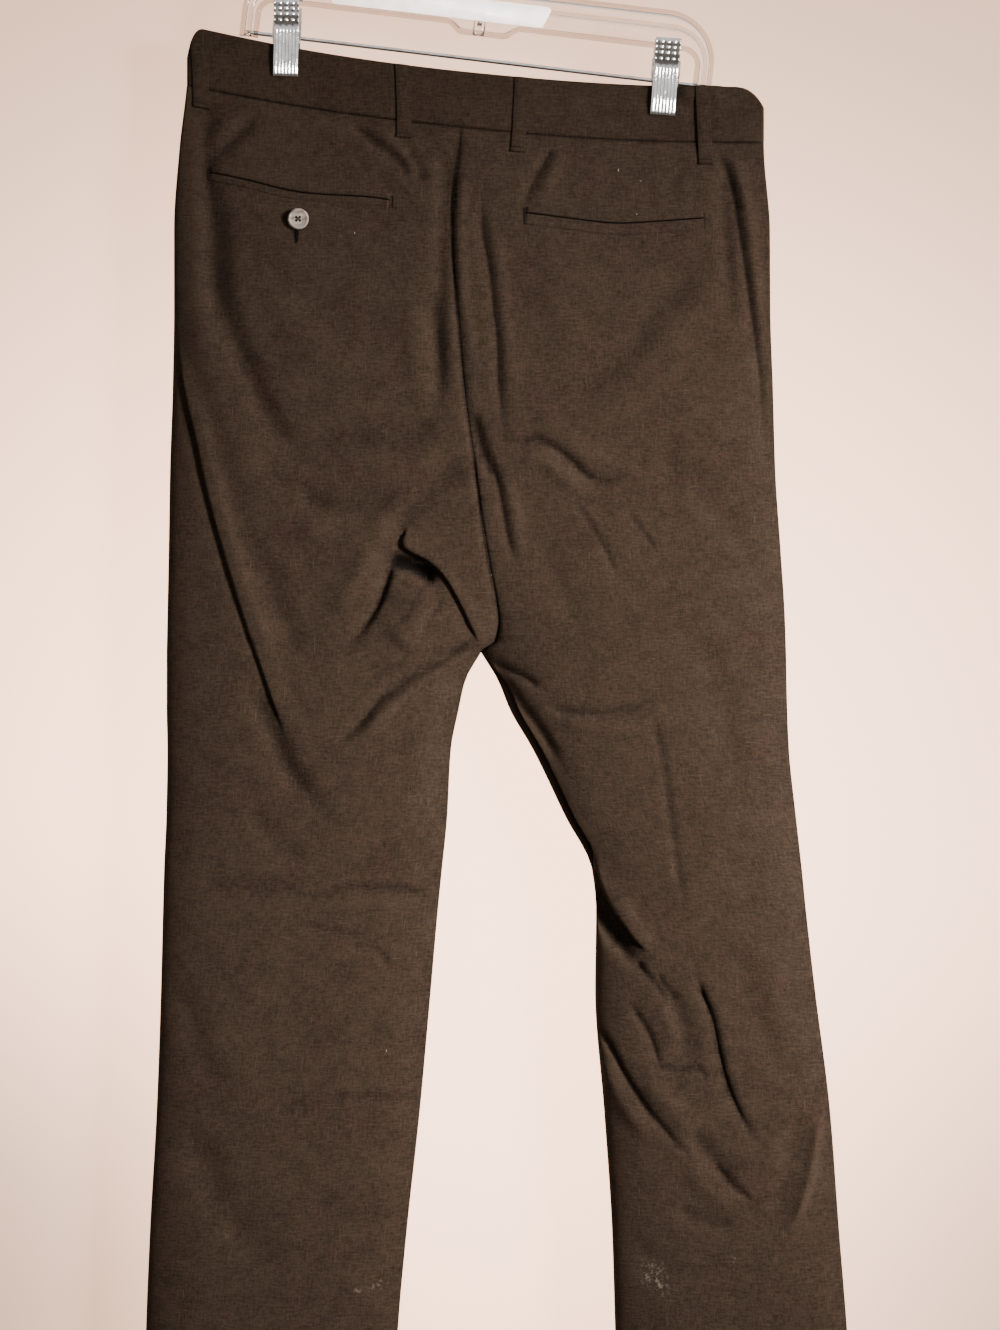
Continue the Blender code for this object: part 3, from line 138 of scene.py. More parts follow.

# ---------------------------------------------------------------- creases
# The creases each run through a few places (x, z). A trough sinks and a ridge stands out, both softly;
# a trough also gets painted shade and a ridge painted light. A pinch is a trough with a crisp middle, and
# a shade is painted shade alone, a darker stretch with no depth. A tuck is cloth that laps over its
# neighbour: it stands out on the left of someone who walks along it, as seen from the back, and gets a
# painted shadow beside its edge.

BACK_CREASES = (
    # kind, height, half width, lap (of a tuck alone), places

    # below the waistband, left
    ("pinch", 3.4, 5.0, ((-174, -179), (-189, -193), (-207, -209))),
    ("ridge", 1.4, 6.0, ((-186, -175), (-202, -189), (-216, -201))),
    ("trough", 3.2, 5.0, ((-101, -179), (-84, -195), (-66, -208), (-57, -222))),
    ("ridge", 1.6, 5.0, ((-88, -179), (-72, -194), (-57, -208), (-48, -222))),
    ("trough", 2.2, 4.5, ((-60, -200), (-52, -212), (-46, -228))),
    ("trough", 2.4, 6.0, ((-43, -192), (-31, -212), (-31, -252), (-33, -293), (-35, -338), (-35, -388))),
    ("trough", 3.0, 7.0, ((-206, -160), (-208, -205), (-206, -245), (-204, -293), (-199, -338))),
    ("trough", 1.4, 6.0, ((-150, -188), (-138, -196), (-122, -203))),

    # the seat, left
    ("trough", 3.8, 9.0, ((-199, -227), (-197, -271), (-193, -322), (-171, -374), (-154, -409), (-131, -433))),
    ("ridge", 1.8, 12.0, ((-216, -320), (-200, -372), (-180, -425), (-160, -470))),
    ("trough", 3.8, 8.0, ((-134, -425), (-110, -422), (-80, -418), (-50, -412), (-36, -406))),
    ("ridge", 2.6, 9.0, ((-112, -441), (-80, -438), (-50, -434), (-34, -428))),
    ("trough", 4.0, 8.0, ((-142, -456), (-118, -467), (-92, -468), (-66, -460))),
    ("ridge", 2.4, 10.0, ((-140, -478), (-112, -488), (-86, -488), (-68, -478))),
    ("ridge", 1.6, 14.0, ((-150, -300), (-130, -340), (-90, -366))),
    ("trough", 1.6, 12.0, ((-170, -280), (-140, -312), (-96, -330), (-58, -322))),
    ("trough", 2.6, 6.0, ((-41, -312), (-36, -345), (-33, -375), (-36, -396))),
    ("ridge", 1.4, 7.0, ((-54, -318), (-52, -352), (-50, -386))),

    # the long overlap of the left leg
    ("tuck", 1.5, 1.3, 2.0, ((-233, -340), (-226, -382), (-217, -420), (-209, -457), (-197, -501), (-180, -555),
        (-166, -595), (-156, -624), (-147, -648))),
    ("shade", 0.5, 7.0, ((-166, -600), (-156, -628), (-142, -660), (-122, -688), (-104, -712))),
    ("ridge", 2.0, 6.0, ((-218, -372), (-206, -425), (-195, -470), (-180, -520), (-162, -570), (-148, -610))),
    ("trough", 3.6, 8.0, ((-172, -602), (-160, -629), (-146, -661), (-127, -684))),
    ("trough", 2.0, 9.0, ((-168, -500), (-150, -545), (-132, -580))),

    # the centre seam and what runs beside it
    ("pinch", 2.2, 3.2, ((-20, -190), (-26, -240), (-24, -300), (-18, -365), (-10, -429), (-5, -473), (0, -505),
        (6, -540), (9, -566))),
    ("trough", 1.8, 7.0, ((-20, -188), (-24, -212), (-28, -250))),
    ("ridge", 1.3, 4.5, ((-15, -215), (-19, -262), (-15, -320), (-7, -370))),
    ("pinch", 2.8, 4.4, ((-3, -235), (-3, -262), (2, -290), (5, -317), (8, -345), (9, -374), (11, -397),
        (14, -420))),
    ("ridge", 1.4, 6.0, ((5, -250), (12, -300), (17, -350), (23, -398))),
    ("trough", 4.6, 5.0, ((-10, -398), (-7, -410), (-3, -426), (3, -440), (9, -452))),
    ("pinch", 2.4, 3.4, ((6, -440), (12, -470), (16, -492), (21, -510))),
    ("ridge", 1.4, 5.0, ((16, -446), (22, -478), (28, -508))),

    # the flap at the fork, the hollow beneath it and the thigh
    ("trough", 2.6, 8.0, ((-18, -436), (-33, -449), (-47, -462), (-60, -475), (-68, -490))),
    ("tuck", 2.4, 1.7, 3.0, ((-59, -482), (-63, -497), (-56, -503), (-46, -508), (-36, -516), (-27, -528),
        (-16, -549), (-6, -572))),
    ("trough", 10.0, 5.0, ((-73, -508), (-63, -509), (-53, -513), (-45, -518), (-37, -526))),
    ("shade", 1.8, 4.0, ((-73, -509), (-66, -510), (-58, -513), (-50, -517), (-43, -521), (-36, -527))),
    ("pinch", 4.4, 5.0, ((-66, -500), (-73, -520), (-80, -540), (-91, -558), (-107, -575))),
    ("tuck", 0.6, 1.4, 0.8, ((-68, -505), (-73, -526), (-80, -544), (-92, -562))),
    ("ridge", 2.6, 9.0, ((-84, -498), (-96, -524), (-112, -552))),
    ("ridge", 4.4, 15.0, ((-44, -534), (-52, -554), (-68, -574))),
    ("pinch", 1.8, 3.0, ((-33, -536), (-40, -548), (-47, -560))),
    ("pinch", 1.3, 3.0, ((-50, -530), (-58, -546), (-70, -560))),
    ("pinch", 4.8, 4.4, ((-12, -566), (-29, -579), (-53, -592), (-78, -610), (-94, -629), (-110, -643),
        (-121, -650))),
    ("ridge", 2.2, 5.0, ((-24, -588), (-50, -602), (-74, -620), (-92, -640))),
    ("pinch", 1.8, 3.0, ((-16, -582), (-38, -596), (-59, -612), (-72, -628))),
    ("pinch", 1.4, 3.0, ((-60, -584), (-80, -594), (-98, -608))),
    ("trough", 1.8, 6.0, ((-28, -618), (-52, -634), (-80, -652))),

    # the left leg
    ("pinch", 3.4, 3.6, ((-149, -753), (-135, -758), (-117, -756), (-104, -751), (-68, -753), (-38, -756))),
    ("ridge", 1.6, 6.0, ((-140, -766), (-104, -762), (-60, -763))),
    ("pinch", 2.0, 4.0, ((-139, -779), (-110, -784), (-92, -786))),
    ("pinch", 1.8, 3.6, ((-104, -794), (-82, -798), (-70, -811))),
    ("trough", 2.0, 6.0, ((-95, -733), (-86, -726), (-66, -719))),
    ("trough", 1.6, 8.0, ((-214, -742), (-186, -752), (-154, -748))),
    ("trough", 1.5, 3.6, ((-158, -918), (-135, -914), (-110, -908), (-82, -907), (-48, -912))),
    ("pinch", 1.6, 3.0, ((-157, -919), (-143, -912), (-132, -914))),
    ("trough", 2.6, 13.0, ((-212, -930), (-202, -962), (-190, -988), (-170, -1012), (-156, -1022))),
    ("trough", 1.6, 10.0, ((-226, -820), (-214, -862), (-200, -905))),
    ("trough", 1.4, 9.0, ((-150, -862), (-112, -852), (-66, -856))),
    ("trough", 1.6, 9.0, ((-130, -980), (-96, -996), (-72, -990))),
    ("trough", 1.2, 8.0, ((-176, -690), (-150, -720), (-128, -735))),
    ("trough", 1.6, 12.0, ((-150, -1110), (-165, -1190), (-172, -1275))),

    # below the waistband, right, and the seat
    ("pinch", 2.8, 4.5, ((49, -199), (39, -217), (33, -229), (27, -245))),
    ("ridge", 1.6, 5.0, ((58, -202), (48, -222), (42, -240))),
    ("trough", 1.6, 7.0, ((150, -206), (140, -222), (138, -240))),
    ("trough", 2.6, 10.0, ((157, -285), (143, -301), (125, -323), (113, -345), (98, -360), (76, -376),
        (52, -384))),
    ("ridge", 1.6, 12.0, ((172, -300), (146, -338), (118, -366), (90, -390))),
    ("ridge", 1.6, 12.0, ((50, -300), (64, -336), (60, -362))),
    ("pinch", 3.4, 4.2, ((172, -198), (183, -225), (189, -262), (197, -317), (202, -353), (205, -374),
        (207, -415))),
    ("trough", 2.6, 6.0, ((178, -210), (180, -262), (184, -322))),
    ("ridge", 1.8, 4.5, ((182, -198), (194, -238), (202, -300), (208, -352))),
    ("pinch", 4.4, 3.6, ((12, -420), (24, -421), (33, -419), (45, -422), (55, -428), (65, -437), (76, -447),
        (86, -450), (101, -446))),
    ("ridge", 2.4, 6.0, ((24, -432), (44, -434), (58, -446), (72, -458))),
    ("ridge", 1.4, 6.0, ((34, -408), (56, -412), (76, -428), (96, -436))),
    ("pinch", 1.8, 3.4, ((68, -469), (79, -485), (88, -501), (97, -520))),
    ("pinch", 1.8, 3.4, ((104, -472), (116, -488), (126, -502))),
    ("trough", 1.4, 8.0, ((136, -410), (140, -436), (140, -462))),
    ("trough", 1.4, 9.0, ((150, -430), (176, -470), (196, -500))),
    ("trough", 1.2, 9.0, ((40, -490), (60, -530), (76, -572))),

    # the right thigh and its inner edge
    ("pinch", 3.6, 4.4, ((4, -583), (16, -589), (29, -595), (40, -602))),
    ("trough", 3.0, 4.4, ((10, -590), (26, -614), (42, -636), (56, -660))),
    ("pinch", 3.0, 3.4, ((46, -617), (61, -621), (84, -622), (104, -619), (121, -614))),
    ("ridge", 1.4, 5.0, ((54, -628), (84, -632), (112, -629))),
    ("trough", 1.1, 3.6, ((122, -618), (128, -644), (134, -680), (140, -724), (148, -772))),
    ("trough", 1.4, 10.0, ((160, -560), (176, -610), (184, -660))),

    # the right knee
    ("tuck", 2.6, 1.8, 3.0, ((77, -729), (82, -741), (87, -756), (95, -772), (102, -781), (110, -792),
        (121, -801))),
    ("trough", 8.0, 6.0, ((80, -750), (88, -772), (98, -790), (112, -806))),
    ("shade", 0.15, 20.0, ((116, -800), (134, -838), (148, -880), (166, -930))),
    ("shade", 0.12, 14.0, ((84, -860), (106, -905), (140, -950))),
    ("pinch", 3.2, 3.4, ((110, -806), (118, -815), (126, -824), (134, -834))),
    ("ridge", 1.8, 5.0, ((98, -756), (110, -776), (124, -792))),
    ("pinch", 3.6, 4.0, ((155, -812), (160, -828), (169, -848), (174, -872), (179, -893), (187, -914),
        (196, -933), (204, -943))),
    ("tuck", 1.2, 2.4, 1.2, ((157, -822), (166, -846), (172, -872), (177, -893), (185, -914), (194, -931))),
    ("trough", 3.0, 10.0, ((140, -826), (146, -846), (152, -868), (158, -884))),
    ("pinch", 3.2, 3.8, ((107, -839), (115, -850), (122, -862), (129, -884))),
    ("pinch", 3.0, 3.0, ((126, -884), (142, -887), (156, -886), (165, -891))),
    ("ridge", 1.8, 6.0, ((128, -836), (138, -852), (142, -874))),
    ("pinch", 2.4, 3.4, ((126, -814), (134, -826), (142, -836))),
    ("pinch", 4.2, 3.2, ((80, -853), (90, -867), (97, -880), (104, -893), (119, -916), (132, -931),
        (147, -948))),
    ("ridge", 2.4, 6.0, ((84, -876), (96, -900), (110, -922), (124, -938))),
    ("ridge", 2.2, 8.0, ((118, -890), (136, -910), (156, -930))),
    ("pinch", 3.4, 3.0, ((168, -956), (176, -965), (184, -974), (199, -985))),
    ("trough", 3.0, 7.0, ((152, -930), (170, -952), (186, -970))),
    ("ridge", 1.8, 7.0, ((150, -956), (166, -974), (186, -990))),
    ("trough", 2.2, 5.0, ((141, -988), (158, -997), (184, -1003))),
    ("ridge", 3.0, 4.4, ((250, -920), (241, -966), (231, -997), (222, -1014))),
    ("trough", 2.0, 8.0, ((236, -915), (226, -962), (214, -1002))),
    ("trough", 1.6, 9.0, ((190, -800), (206, -850), (222, -890))),
    ("trough", 1.6, 9.0, ((104, -1010), (140, -1034), (190, -1036))),
    ("trough", 1.4, 12.0, ((190, -1090), (198, -1180), (200, -1275))),
)

FRONT_CREASES = (
    ("trough", 2.4, 10.0, ((-150, -215), (-152, -300), (-140, -400))),
    ("trough", 2.2, 10.0, ((120, -225), (128, -310), (118, -410))),
    ("pinch", 3.8, 6.0, ((-25, -520), (-80, -480), (-150, -460))),
    ("ridge", 2.0, 8.0, ((-35, -506), (-85, -466), (-140, -446))),
    ("pinch", 3.6, 6.0, ((20, -515), (75, -470), (140, -452))),
    ("ridge", 1.8, 8.0, ((30, -500), (80, -456), (130, -440))),
    ("pinch", 3.0, 5.5, ((-30, -560), (-85, -552), (-150, -575))),
    ("pinch", 2.8, 5.5, ((22, -560), (80, -545), (150, -562))),
    ("trough", 2.2, 6.5, ((-60, -640), (-110, -655), (-165, -650))),
    ("trough", 2.2, 6.5, ((70, -640), (120, -662), (175, -650))),
    ("pinch", 3.6, 5.0, ((-90, -840), (-130, -870), (-190, -880))),
    ("ridge", 1.8, 7.0, ((-95, -856), (-135, -888), (-182, -896))),
    ("trough", 2.6, 5.0, ((-80, -900), (-125, -915), (-175, -905))),
    ("pinch", 3.6, 5.0, ((115, -850), (150, -885), (205, -900))),
    ("ridge", 1.8, 7.0, ((122, -868), (158, -902), (200, -914))),
    ("trough", 2.4, 5.0, ((110, -930), (150, -940), (200, -930))),
    ("trough", 1.6, 12.0, ((-150, -1000), (-160, -1120), (-165, -1250))),
    ("trough", 1.6, 12.0, ((185, -1000), (192, -1120), (195, -1250))),
)

CREASE_FADE_IN = 0.16
CREASE_FADE_OUT = 0.22
CREASE_END_SHARE = 0.2
CREASE_POINT_STEP = 5.0
CREASE_MARGIN = 5
PINCH_SHARE = 0.45
PINCH_CRISP = 0.5
TUCK_FADE = 0.7
TUCK_REACH = 4.5
TUCK_STEEP = 0.8
TUCK_SLIDE = 2.4
# Where a tuck's painted shadow lies beside its edge, as a share of its half width
TUCK_SHADE = 0.6
# How much painted shade or painted light a trough, pinch or ridge gets: at most, and as a share of height over half
# width
PAINTED_SHADE_MOST = 1.6
PAINTED_SHADE_SHARE = 0.7
SEAM_FADE = 16.0
FADE_FULLNESS = 0.45
RUMPLE_HEIGHT = 0.9
RUMPLE_SEED = 11
RUMPLE_WAVES = 26
RUMPLE_SHORT = 16.0
RUMPLE_LONG = 95.0
RUMPLE_WANDER = 61.0
RUMPLE_PEAK = 9.0

# A hollow looks darkest on its side nearest the light, so its bottom lies this far (as a share of its
# half width) on the other side of the dark line that was measured.
LIGHT_SIDE = (0.84, 0.55)
HOLLOW_SHIFT = 0.5

# The back's centre seam swings to the right leg near the fork, which the solids leave straight. It is
# shut, so the wall doesn't show through where it crosses the centre front.
SEAM_SWING = 9.0
SWING_TOP = -478.0
SWING_LONG = 110.0
SWING_RETURN = 9.0
BACK_SEAM_OPEN = 0.1

# Where the right back is drawn off the inner edge, so that one lit layer of the front shows.
LIT_EDGE_WIDTH = 6.5
LIT_EDGE_TOP = -578.0
LIT_EDGE_FOOT = -745.0
# Painted light: the front's cloth is painted lighter along that edge, by this much and over this reach
LIT_EDGE_PAINTED_LIGHT = 5.0
LIT_EDGE_REACH = 9.0

# The folds at the sides are pressed flatter than the solids' round ones, so their shading is evened out with painted
# light on left-facing folds and painted shade on right-facing ones.
EDGE_PAINTED_WIDTH = 7.0
EDGE_LEFT_PAINTED_LIGHT = 1.0
EDGE_RIGHT_PAINTED_SHADE = -0.5

# Painted shade (strength, half width) at a panel's edges, its centre seam and the waist seam
EDGE_PAINTED_SHADE = (0.3, 1.6)
SEAM_PAINTED_SHADE = (0.8, 1.1)
WAIST_PAINTED_SHADE = (0.8, 1.3)

# ---------------------------------------------------------------- what is sewn on

FLY_LENGTH = 165.0
FLY_CLOSE = 80.0
FLY_LAP = 11.0
FLY_LIFT = 2.2
LAP_BEFORE = 24.0
LAP_RAMP = 18.0
TAB_LAP = 24.0
TAB_LIFT = 3.6
TAB_RAMP = 22.0
TAB_FULL_BEFORE = 12.0
UNDERLAP = 12.0

LOOP_GRID = (45, 13)
LOOP_LONG = 50
LOOP_TACK = (0.8, 2.4)
# Painted shade (strength, half width) at the bar tack's fold
LOOP_TACK_PAINTED_SHADE = (0.7, 1.6)
LOOP_GROOVE_AT = 0.72
LOOP_GROOVE = (0.28, 0.1)
# Painted shade (strength, half width) along the loop's edges
LOOP_EDGE_PAINTED_SHADE = (0.35, 0.14)
LOOP_WALL = 0.8
LOOP_LIFT = 0.05
BELT_LOOPS = (
    # name, face, place along the band, lower end below the seam, lean of the lower end, width
    ("belt_loop_side_left", "back", -217.0, 15.0, 2.5, 13.0),
    ("belt_loop_back_left", "back", -64.0, 13.0, 1.5, 12.0),
    ("belt_loop_back_right", "back", 25.0, 15.0, -3.0, 11.0),
    ("belt_loop_side_right", "back", 160.0, 17.0, 3.0, 11.4),
    ("belt_loop_front_left", "front", -92.0, 14.0, 0.0, 11.0),
    ("belt_loop_front_right", "front", 98.0, 14.0, 0.0, 11.0),
)

POCKETS = (
    # name, places (x, z) along the opening, upper lip, lower lip, its thickness, whether it is sewn down
    ("back_pocket_left", ((-208, -218.5), (-183, -224), (-141, -234), (-94, -237.5), (-71, -240.5)),
     4.4, 6.0, 0.3, False),
    ("back_pocket_right", ((28, -250), (54, -253), (90, -257), (114, -256.5), (161, -253)),
     5.0, 8.8, 0.6, True),
)
FRONT_POCKETS = (
    # name, top (x, drop below the seam), foot (x, drop below the seam)
    ("front_pocket_edge_left", (-176.0, 3.0), (-219.0, 150.0)),
    ("front_pocket_edge_right", (158.0, 3.0), (200.0, 150.0)),
)
POCKET_EDGE_WIDTH = 9.0
LIP_WALL = 0.9

BUTTON_RADIUS = 7.9
BUTTON_THICK = 2.8
BUTTON_RIM = 1.9
BUTTON_DISH = 0.7
BUTTON_HOLE = 0.95
BUTTON_HOLE_REACH = 1.85
BUTTON_STAND = 0.9
BACK_BUTTON_PLACE = (-141.0, -255.0)
WAIST_BUTTON_PLACE = (8.0, -165.0)

# ---------------------------------------------------------------- the hanger

HANGER_TILT = math.radians(6.8)
HANGER_FOOT = (-10.5, -141.4)
HANGER_HALF_LENGTH = 178.0
HANGER_HEIGHT = 63.0
LEG_FOOT = 6.4
ROD_UP = 9.1
ROD_END = 4.0
BEAM_FOOT = 34.0
BEAM_DIP = 7.0
DIP_LEFT = -24.0
DIP_RIGHT = 30.0
END_WIDTH = 14.0
CORNER_CUT = 10.0
SHOULDER_RADIUS = 38.0
WEB_PLATE = (-112.0, 52.0, 38.0, 54.0)
HOOK_WIRE = 1.7
HOOK_INNER_RADIUS = 16.0
HOOK_SEAT = 33.0
HOOK_NECK = 80.0
CLIP_WIDTH = 19.0
CLIP_WALL = 1.1
CLIPS = (
    # name, foot of the jaws (x, z), lean
    ("clip_left", (-151.5, -146.3), math.radians(1.5)),
    ("clip_right", (130.5, -175.3), math.radians(4.5)),
)
JAW_PROFILE = (
    # up, out
    (0.0, 4.2),
    (7.0, 5.2),
    (14.0, 5.6),
    (24.0, 5.4),
    (33.0, 5.8),
    (45.0, 9.2),
    (56.0, 12.6),
)
SPRING_UP = 37.0


# ---------------------------------------------------------------- smooth tables

def slopes_of(places, values):
    """Slopes for a curve through the rows that never swings past them."""
    steps = np.diff(places)
    rises = np.diff(values) / steps
    slopes = np.zeros(len(places))
    for i in range(1, len(places) - 1):
        before, after = rises[i - 1], rises[i]
        if before * after > 0:
            first = 2 * steps[i] + steps[i - 1]
            second = steps[i] + 2 * steps[i - 1]
            slopes[i] = (first + second) / (first / before + second / after)
    slopes[0] = rises[0]
    slopes[-1] = rises[-1]
    return slopes


def read_table(table, column, place):
    """A smooth reading of one column of a table, whose first column is the place."""
    rows = sorted(table, key=lambda row: row[0])
    places = np.array([row[0] for row in rows], dtype=float)
    values = np.array([row[column] for row in rows], dtype=float)
    slopes = slopes_of(places, values)
    where = np.clip(np.asarray(place, dtype=float), places[0], places[-1])
    index = np.clip(np.searchsorted(places, where) - 1, 0, len(places) - 2)
    width = places[index + 1] - places[index]
    t = (where - places[index]) / width
    return (values[index] * (1 + 2 * t) * (1 - t) ** 2
            + values[index + 1] * t * t * (3 - 2 * t)
            + slopes[index] * width * t * (1 - t) ** 2
            - slopes[index + 1] * width * t * t * (1 - t))


def smooth(value):
    """From 0 to 1 with a soft start and end."""
    value = np.clip(value, 0.0, 1.0)
    return value * value * (3 - 2 * value)


def mix(a, b, share):
    return a * (1 - share) + b * share


def bell(away, wide):
    """From 1 at no distance softly down to 0 past twice a width."""
    return np.exp(-(away / wide) ** 2)


def line_at(line, away):
    """What a soft line (its strength and half width) adds at a distance from it."""
    strength, wide = line
    return strength * bell(away, wide)


def smooth_run(places, step=CREASE_POINT_STEP):
    """Points about a step apart on a smooth line through its places."""
    places = np.array(places, dtype=float)
    padded = np.vstack([2 * places[0] - places[1], places, 2 * places[-1] - places[-2]])
    points = []
    for i in range(len(places) - 1):
        a, b, c, d = padded[i:i + 4]
        count = max(2, int(np.linalg.norm(c - b) / step))
        for t in np.arange(count) / count:
            points.append(0.5 * (2 * b + (c - a) * t + (2 * a - 5 * b + 4 * c - d) * t ** 2
                                 + (3 * b - a - 3 * c + d) * t ** 3))
    points.append(places[-1])
    return np.array(points)


# ---------------------------------------------------------------- the cloth's skin

def waist_height(x):
    """Height of the waist seam at a place along the waist."""
    (a, b, c), (p, q, r) = WAIST_PLACES, WAIST_HEIGHTS
    return (p * (x - b) * (x - c) / ((a - b) * (a - c))
            + q * (x - a) * (x - c) / ((b - a) * (b - c))
            + r * (x - a) * (x - b) / ((c - a) * (c - b)))


def across_waist(x):
    """From -1 at the left end of the waist to 1 at its right end."""
    left, right = WAIST_PLACES[0], WAIST_PLACES[-1]
    return (2 * x - left - right) / (right - left)


def centre_line(face, z):
    """The centre back or centre front, which meet at the fork."""
    back = read_table(TRUNK, CENTRE, z)
    if face == "back":
        swing = smooth((SWING_TOP - z) / SWING_LONG) * smooth((z - FORK_HEIGHT) / SWING_RETURN)
        return back + SEAM_SWING * swing
    return back + CENTRE_FRONT_SHIFT * smooth((z - FORK_HEIGHT) / CENTRE_SHIFT_RISE)


def waist_depth(x):
    """Half depth of the waist: flat at the clips and bowed between them."""
    between = np.clip((x - CLIP_LEFT_X) / (CLIP_RIGHT_X - CLIP_LEFT_X), 0.0, 1.0)
    return WAIST_CLAMPED + WAIST_BOW * np.sin(math.pi * between) ** 2


def edge_rounding(share, roundness):
    """How full a section is at a share from its middle (0) to its edge (1)."""
    share = np.clip(np.abs(share), 0.0, 1.0)
    return np.maximum(1 - share ** roundness, 0.0) ** (1 / roundness)


def fullness(face, x, z):
    """How full the tubes are at a place, from 0 at an outline or inner leg to 1 in the middle."""
    above = z > FORK_HEIGHT
    roundness = read_table(DEPTHS, 3, waist_height(x) - z)
    centre = centre_line(face, z)
    left_in = np.where(above, centre, read_table(LEGS, LEFT_INNER, z))
    right_in = np.where(above, centre, read_table(LEGS, RIGHT_INNER, z))
    left_out = np.where(above, read_table(TRUNK, LEFT_SIDE, z), read_table(LEGS, LEFT_OUTER, z))
    right_out = np.where(above, read_table(TRUNK, RIGHT_SIDE, z), read_table(LEGS, RIGHT_OUTER, z))
    trunk = edge_rounding((2 * x - left_out - right_out) / (right_out - left_out), roundness)
    on_left = x < (left_in + right_in) / 2
    inner = np.where(on_left, left_in, right_in)
    outer = np.where(on_left, left_out, right_out)
    leg = edge_rounding((2 * x - inner - outer) / (outer - inner), roundness)
    rise = np.clip((FORK_HEIGHT + FORK_REACH - z) / FORK_REACH, 0.0, 1.0)
    at_centre = np.where(above, 1 - np.sqrt(1 - rise * rise), 1.0)
    at_hips = smooth((FORK_HEIGHT + HIP_REACH - z) / (2 * HIP_REACH))
    near_centre = bell(x - inner, CENTRE_REACH)
    return mix(trunk, leg, mix(at_hips, at_centre, near_centre))


def plain_depth(face, x, z):
    """Distance of the cloth's outer skin from the middle plane, before its creases."""
    drop = waist_height(x) - z
    depth = read_table(DEPTHS, 1 if face == "back" else 2, drop)
    waist = mix(waist_depth(x) - BAND_PROUD, WAIST_CLAMPED, smooth(drop / WAIST_SETTLE))
    return (waist + depth) * fullness(face, x, z)


def crease_field(creases, x, z):
    """What the creases add at each place: height, sideways shift (x, z) and painted shading (painted shade and
    painted light).
    """
    height = np.zeros(x.shape)
    shift_x, shift_z, painted_crease_shading = height.copy(), height.copy(), height.copy()
    for kind, tall, wide, *lap, places in creases:
        run = smooth_run(places)
        margin = CREASE_MARGIN * wide
        low, high = run.min(axis=0) - margin, run.max(axis=0) + margin
        near = (x > low[0]) & (x < high[0]) & (z > low[1]) & (z < high[1])
        if not near.any():
            continue
        px, pz = x[near], z[near]
        best = np.full(px.shape, 1e9)
        along, signed, nx, nz = best.copy(), best.copy(), best.copy(), best.copy()
        for i in range(len(run) - 1):
            step = run[i + 1] - run[i]
            length = np.hypot(*step)
            dx, dz = px - run[i][0], pz - run[i][1]
            t = np.clip((dx * step[0] + dz * step[1]) / length ** 2, 0.0, 1.0)
            distance = np.hypot(dx - t * step[0], dz - t * step[1])
            nearer = distance < best
            best = np.where(nearer, distance, best)
            side = np.sign(dz * step[0] - dx * step[1])
            signed = np.where(nearer, side * distance, signed)
            along = np.where(nearer, (i + t) / (len(run) - 1), along)
            nx = np.where(nearer, -step[1] / length, nx)
            nz = np.where(nearer, step[0] / length, nz)
        ends = smooth(along / CREASE_FADE_IN) * smooth((1 - along) / CREASE_FADE_OUT)
        if kind == "tuck":
            ends = (smooth(along / CREASE_FADE_IN / TUCK_FADE)
                    * smooth((1 - along) / CREASE_FADE_OUT / TUCK_FADE))
            height[near] += tall * np.tanh(signed / wide) * bell(best, TUCK_REACH * wide) * ends
            slide = lap[0] * np.tanh(signed / (TUCK_STEEP * wide)) * bell(best, TUCK_SLIDE * wide) * ends
            shift_x[near] -= slide * nx
            shift_z[near] -= slide * nz
            # A painted shadow beside the tuck's edge, on its lower side
            painted_crease_shading[near] -= ends * bell(signed + TUCK_SHADE * wide, wide)
        elif kind == "shade":
            # Painted shade alone, with no depth
            painted_crease_shading[near] -= tall * bell(best, wide) * ends
        else:
            sign = 1 if kind == "ridge" else -1
            shifted = np.abs(signed + HOLLOW_SHIFT * wide * (nx * LIGHT_SIDE[0] + nz * LIGHT_SIDE[1]))
            # One pass sets the depth at the shifted bottom, the other the painted shading at the measured line
            for away, seen in ((shifted, False), (best, True)):
                shape = bell(away, wide)
                if kind == "pinch":
                    shape = mix(shape, np.exp(-away / (PINCH_SHARE * wide)), PINCH_CRISP)
                shape = shape * mix(CREASE_END_SHARE, 1.0, ends)
                if seen:
                    # Painted shade in a trough or pinch, painted light on a ridge
                    painted_crease_shading[near] += sign * min(PAINTED_SHADE_MOST, PAINTED_SHADE_SHARE * tall / wide) * shape
                else:
                    height[near] += sign * tall * shape
    return height, shift_x, shift_z, painted_crease_shading


def rumple(x, z, seed):
    """Soft, uneven rumples from crossed waves in fixed random directions."""
    random = np.random.RandomState(seed)
    total = np.zeros(x.shape)
    for _ in range(RUMPLE_WAVES):
        length = random.uniform(RUMPLE_SHORT, RUMPLE_LONG)
        angle = random.uniform(-0.9, 0.9) + (math.pi / 2 if random.uniform() < 0.45 else 0.0)
        phase, bend = random.uniform(0, 2 * math.pi, 2)
        along = x * math.cos(angle) + z * math.sin(angle)
        across = z * math.cos(angle) - x * math.sin(angle)
        wave = np.sin(2 * math.pi * along / length + phase + 1.3 * np.sin(across / RUMPLE_WANDER + bend))
        total += wave * (length / RUMPLE_LONG) * np.sin(across / (length * 0.9) + bend)
    return total / RUMPLE_PEAK


# ---------------------------------------------------------------- meshes

def outward_of(face):
    return -1.0 if face == "back" else 1.0


def grid_faces(rows, columns, first=0, turned=False):
    """Quads of a grid of points, rows running down and columns running across."""
    index = np.arange(rows * columns).reshape(rows, columns) + first
    quads = np.stack([index[:-1, :-1], index[:-1, 1:], index[1:, 1:], index[1:, :-1]], axis=2).reshape(-1, 4)
    return quads[:, ::-1] if turned else quads


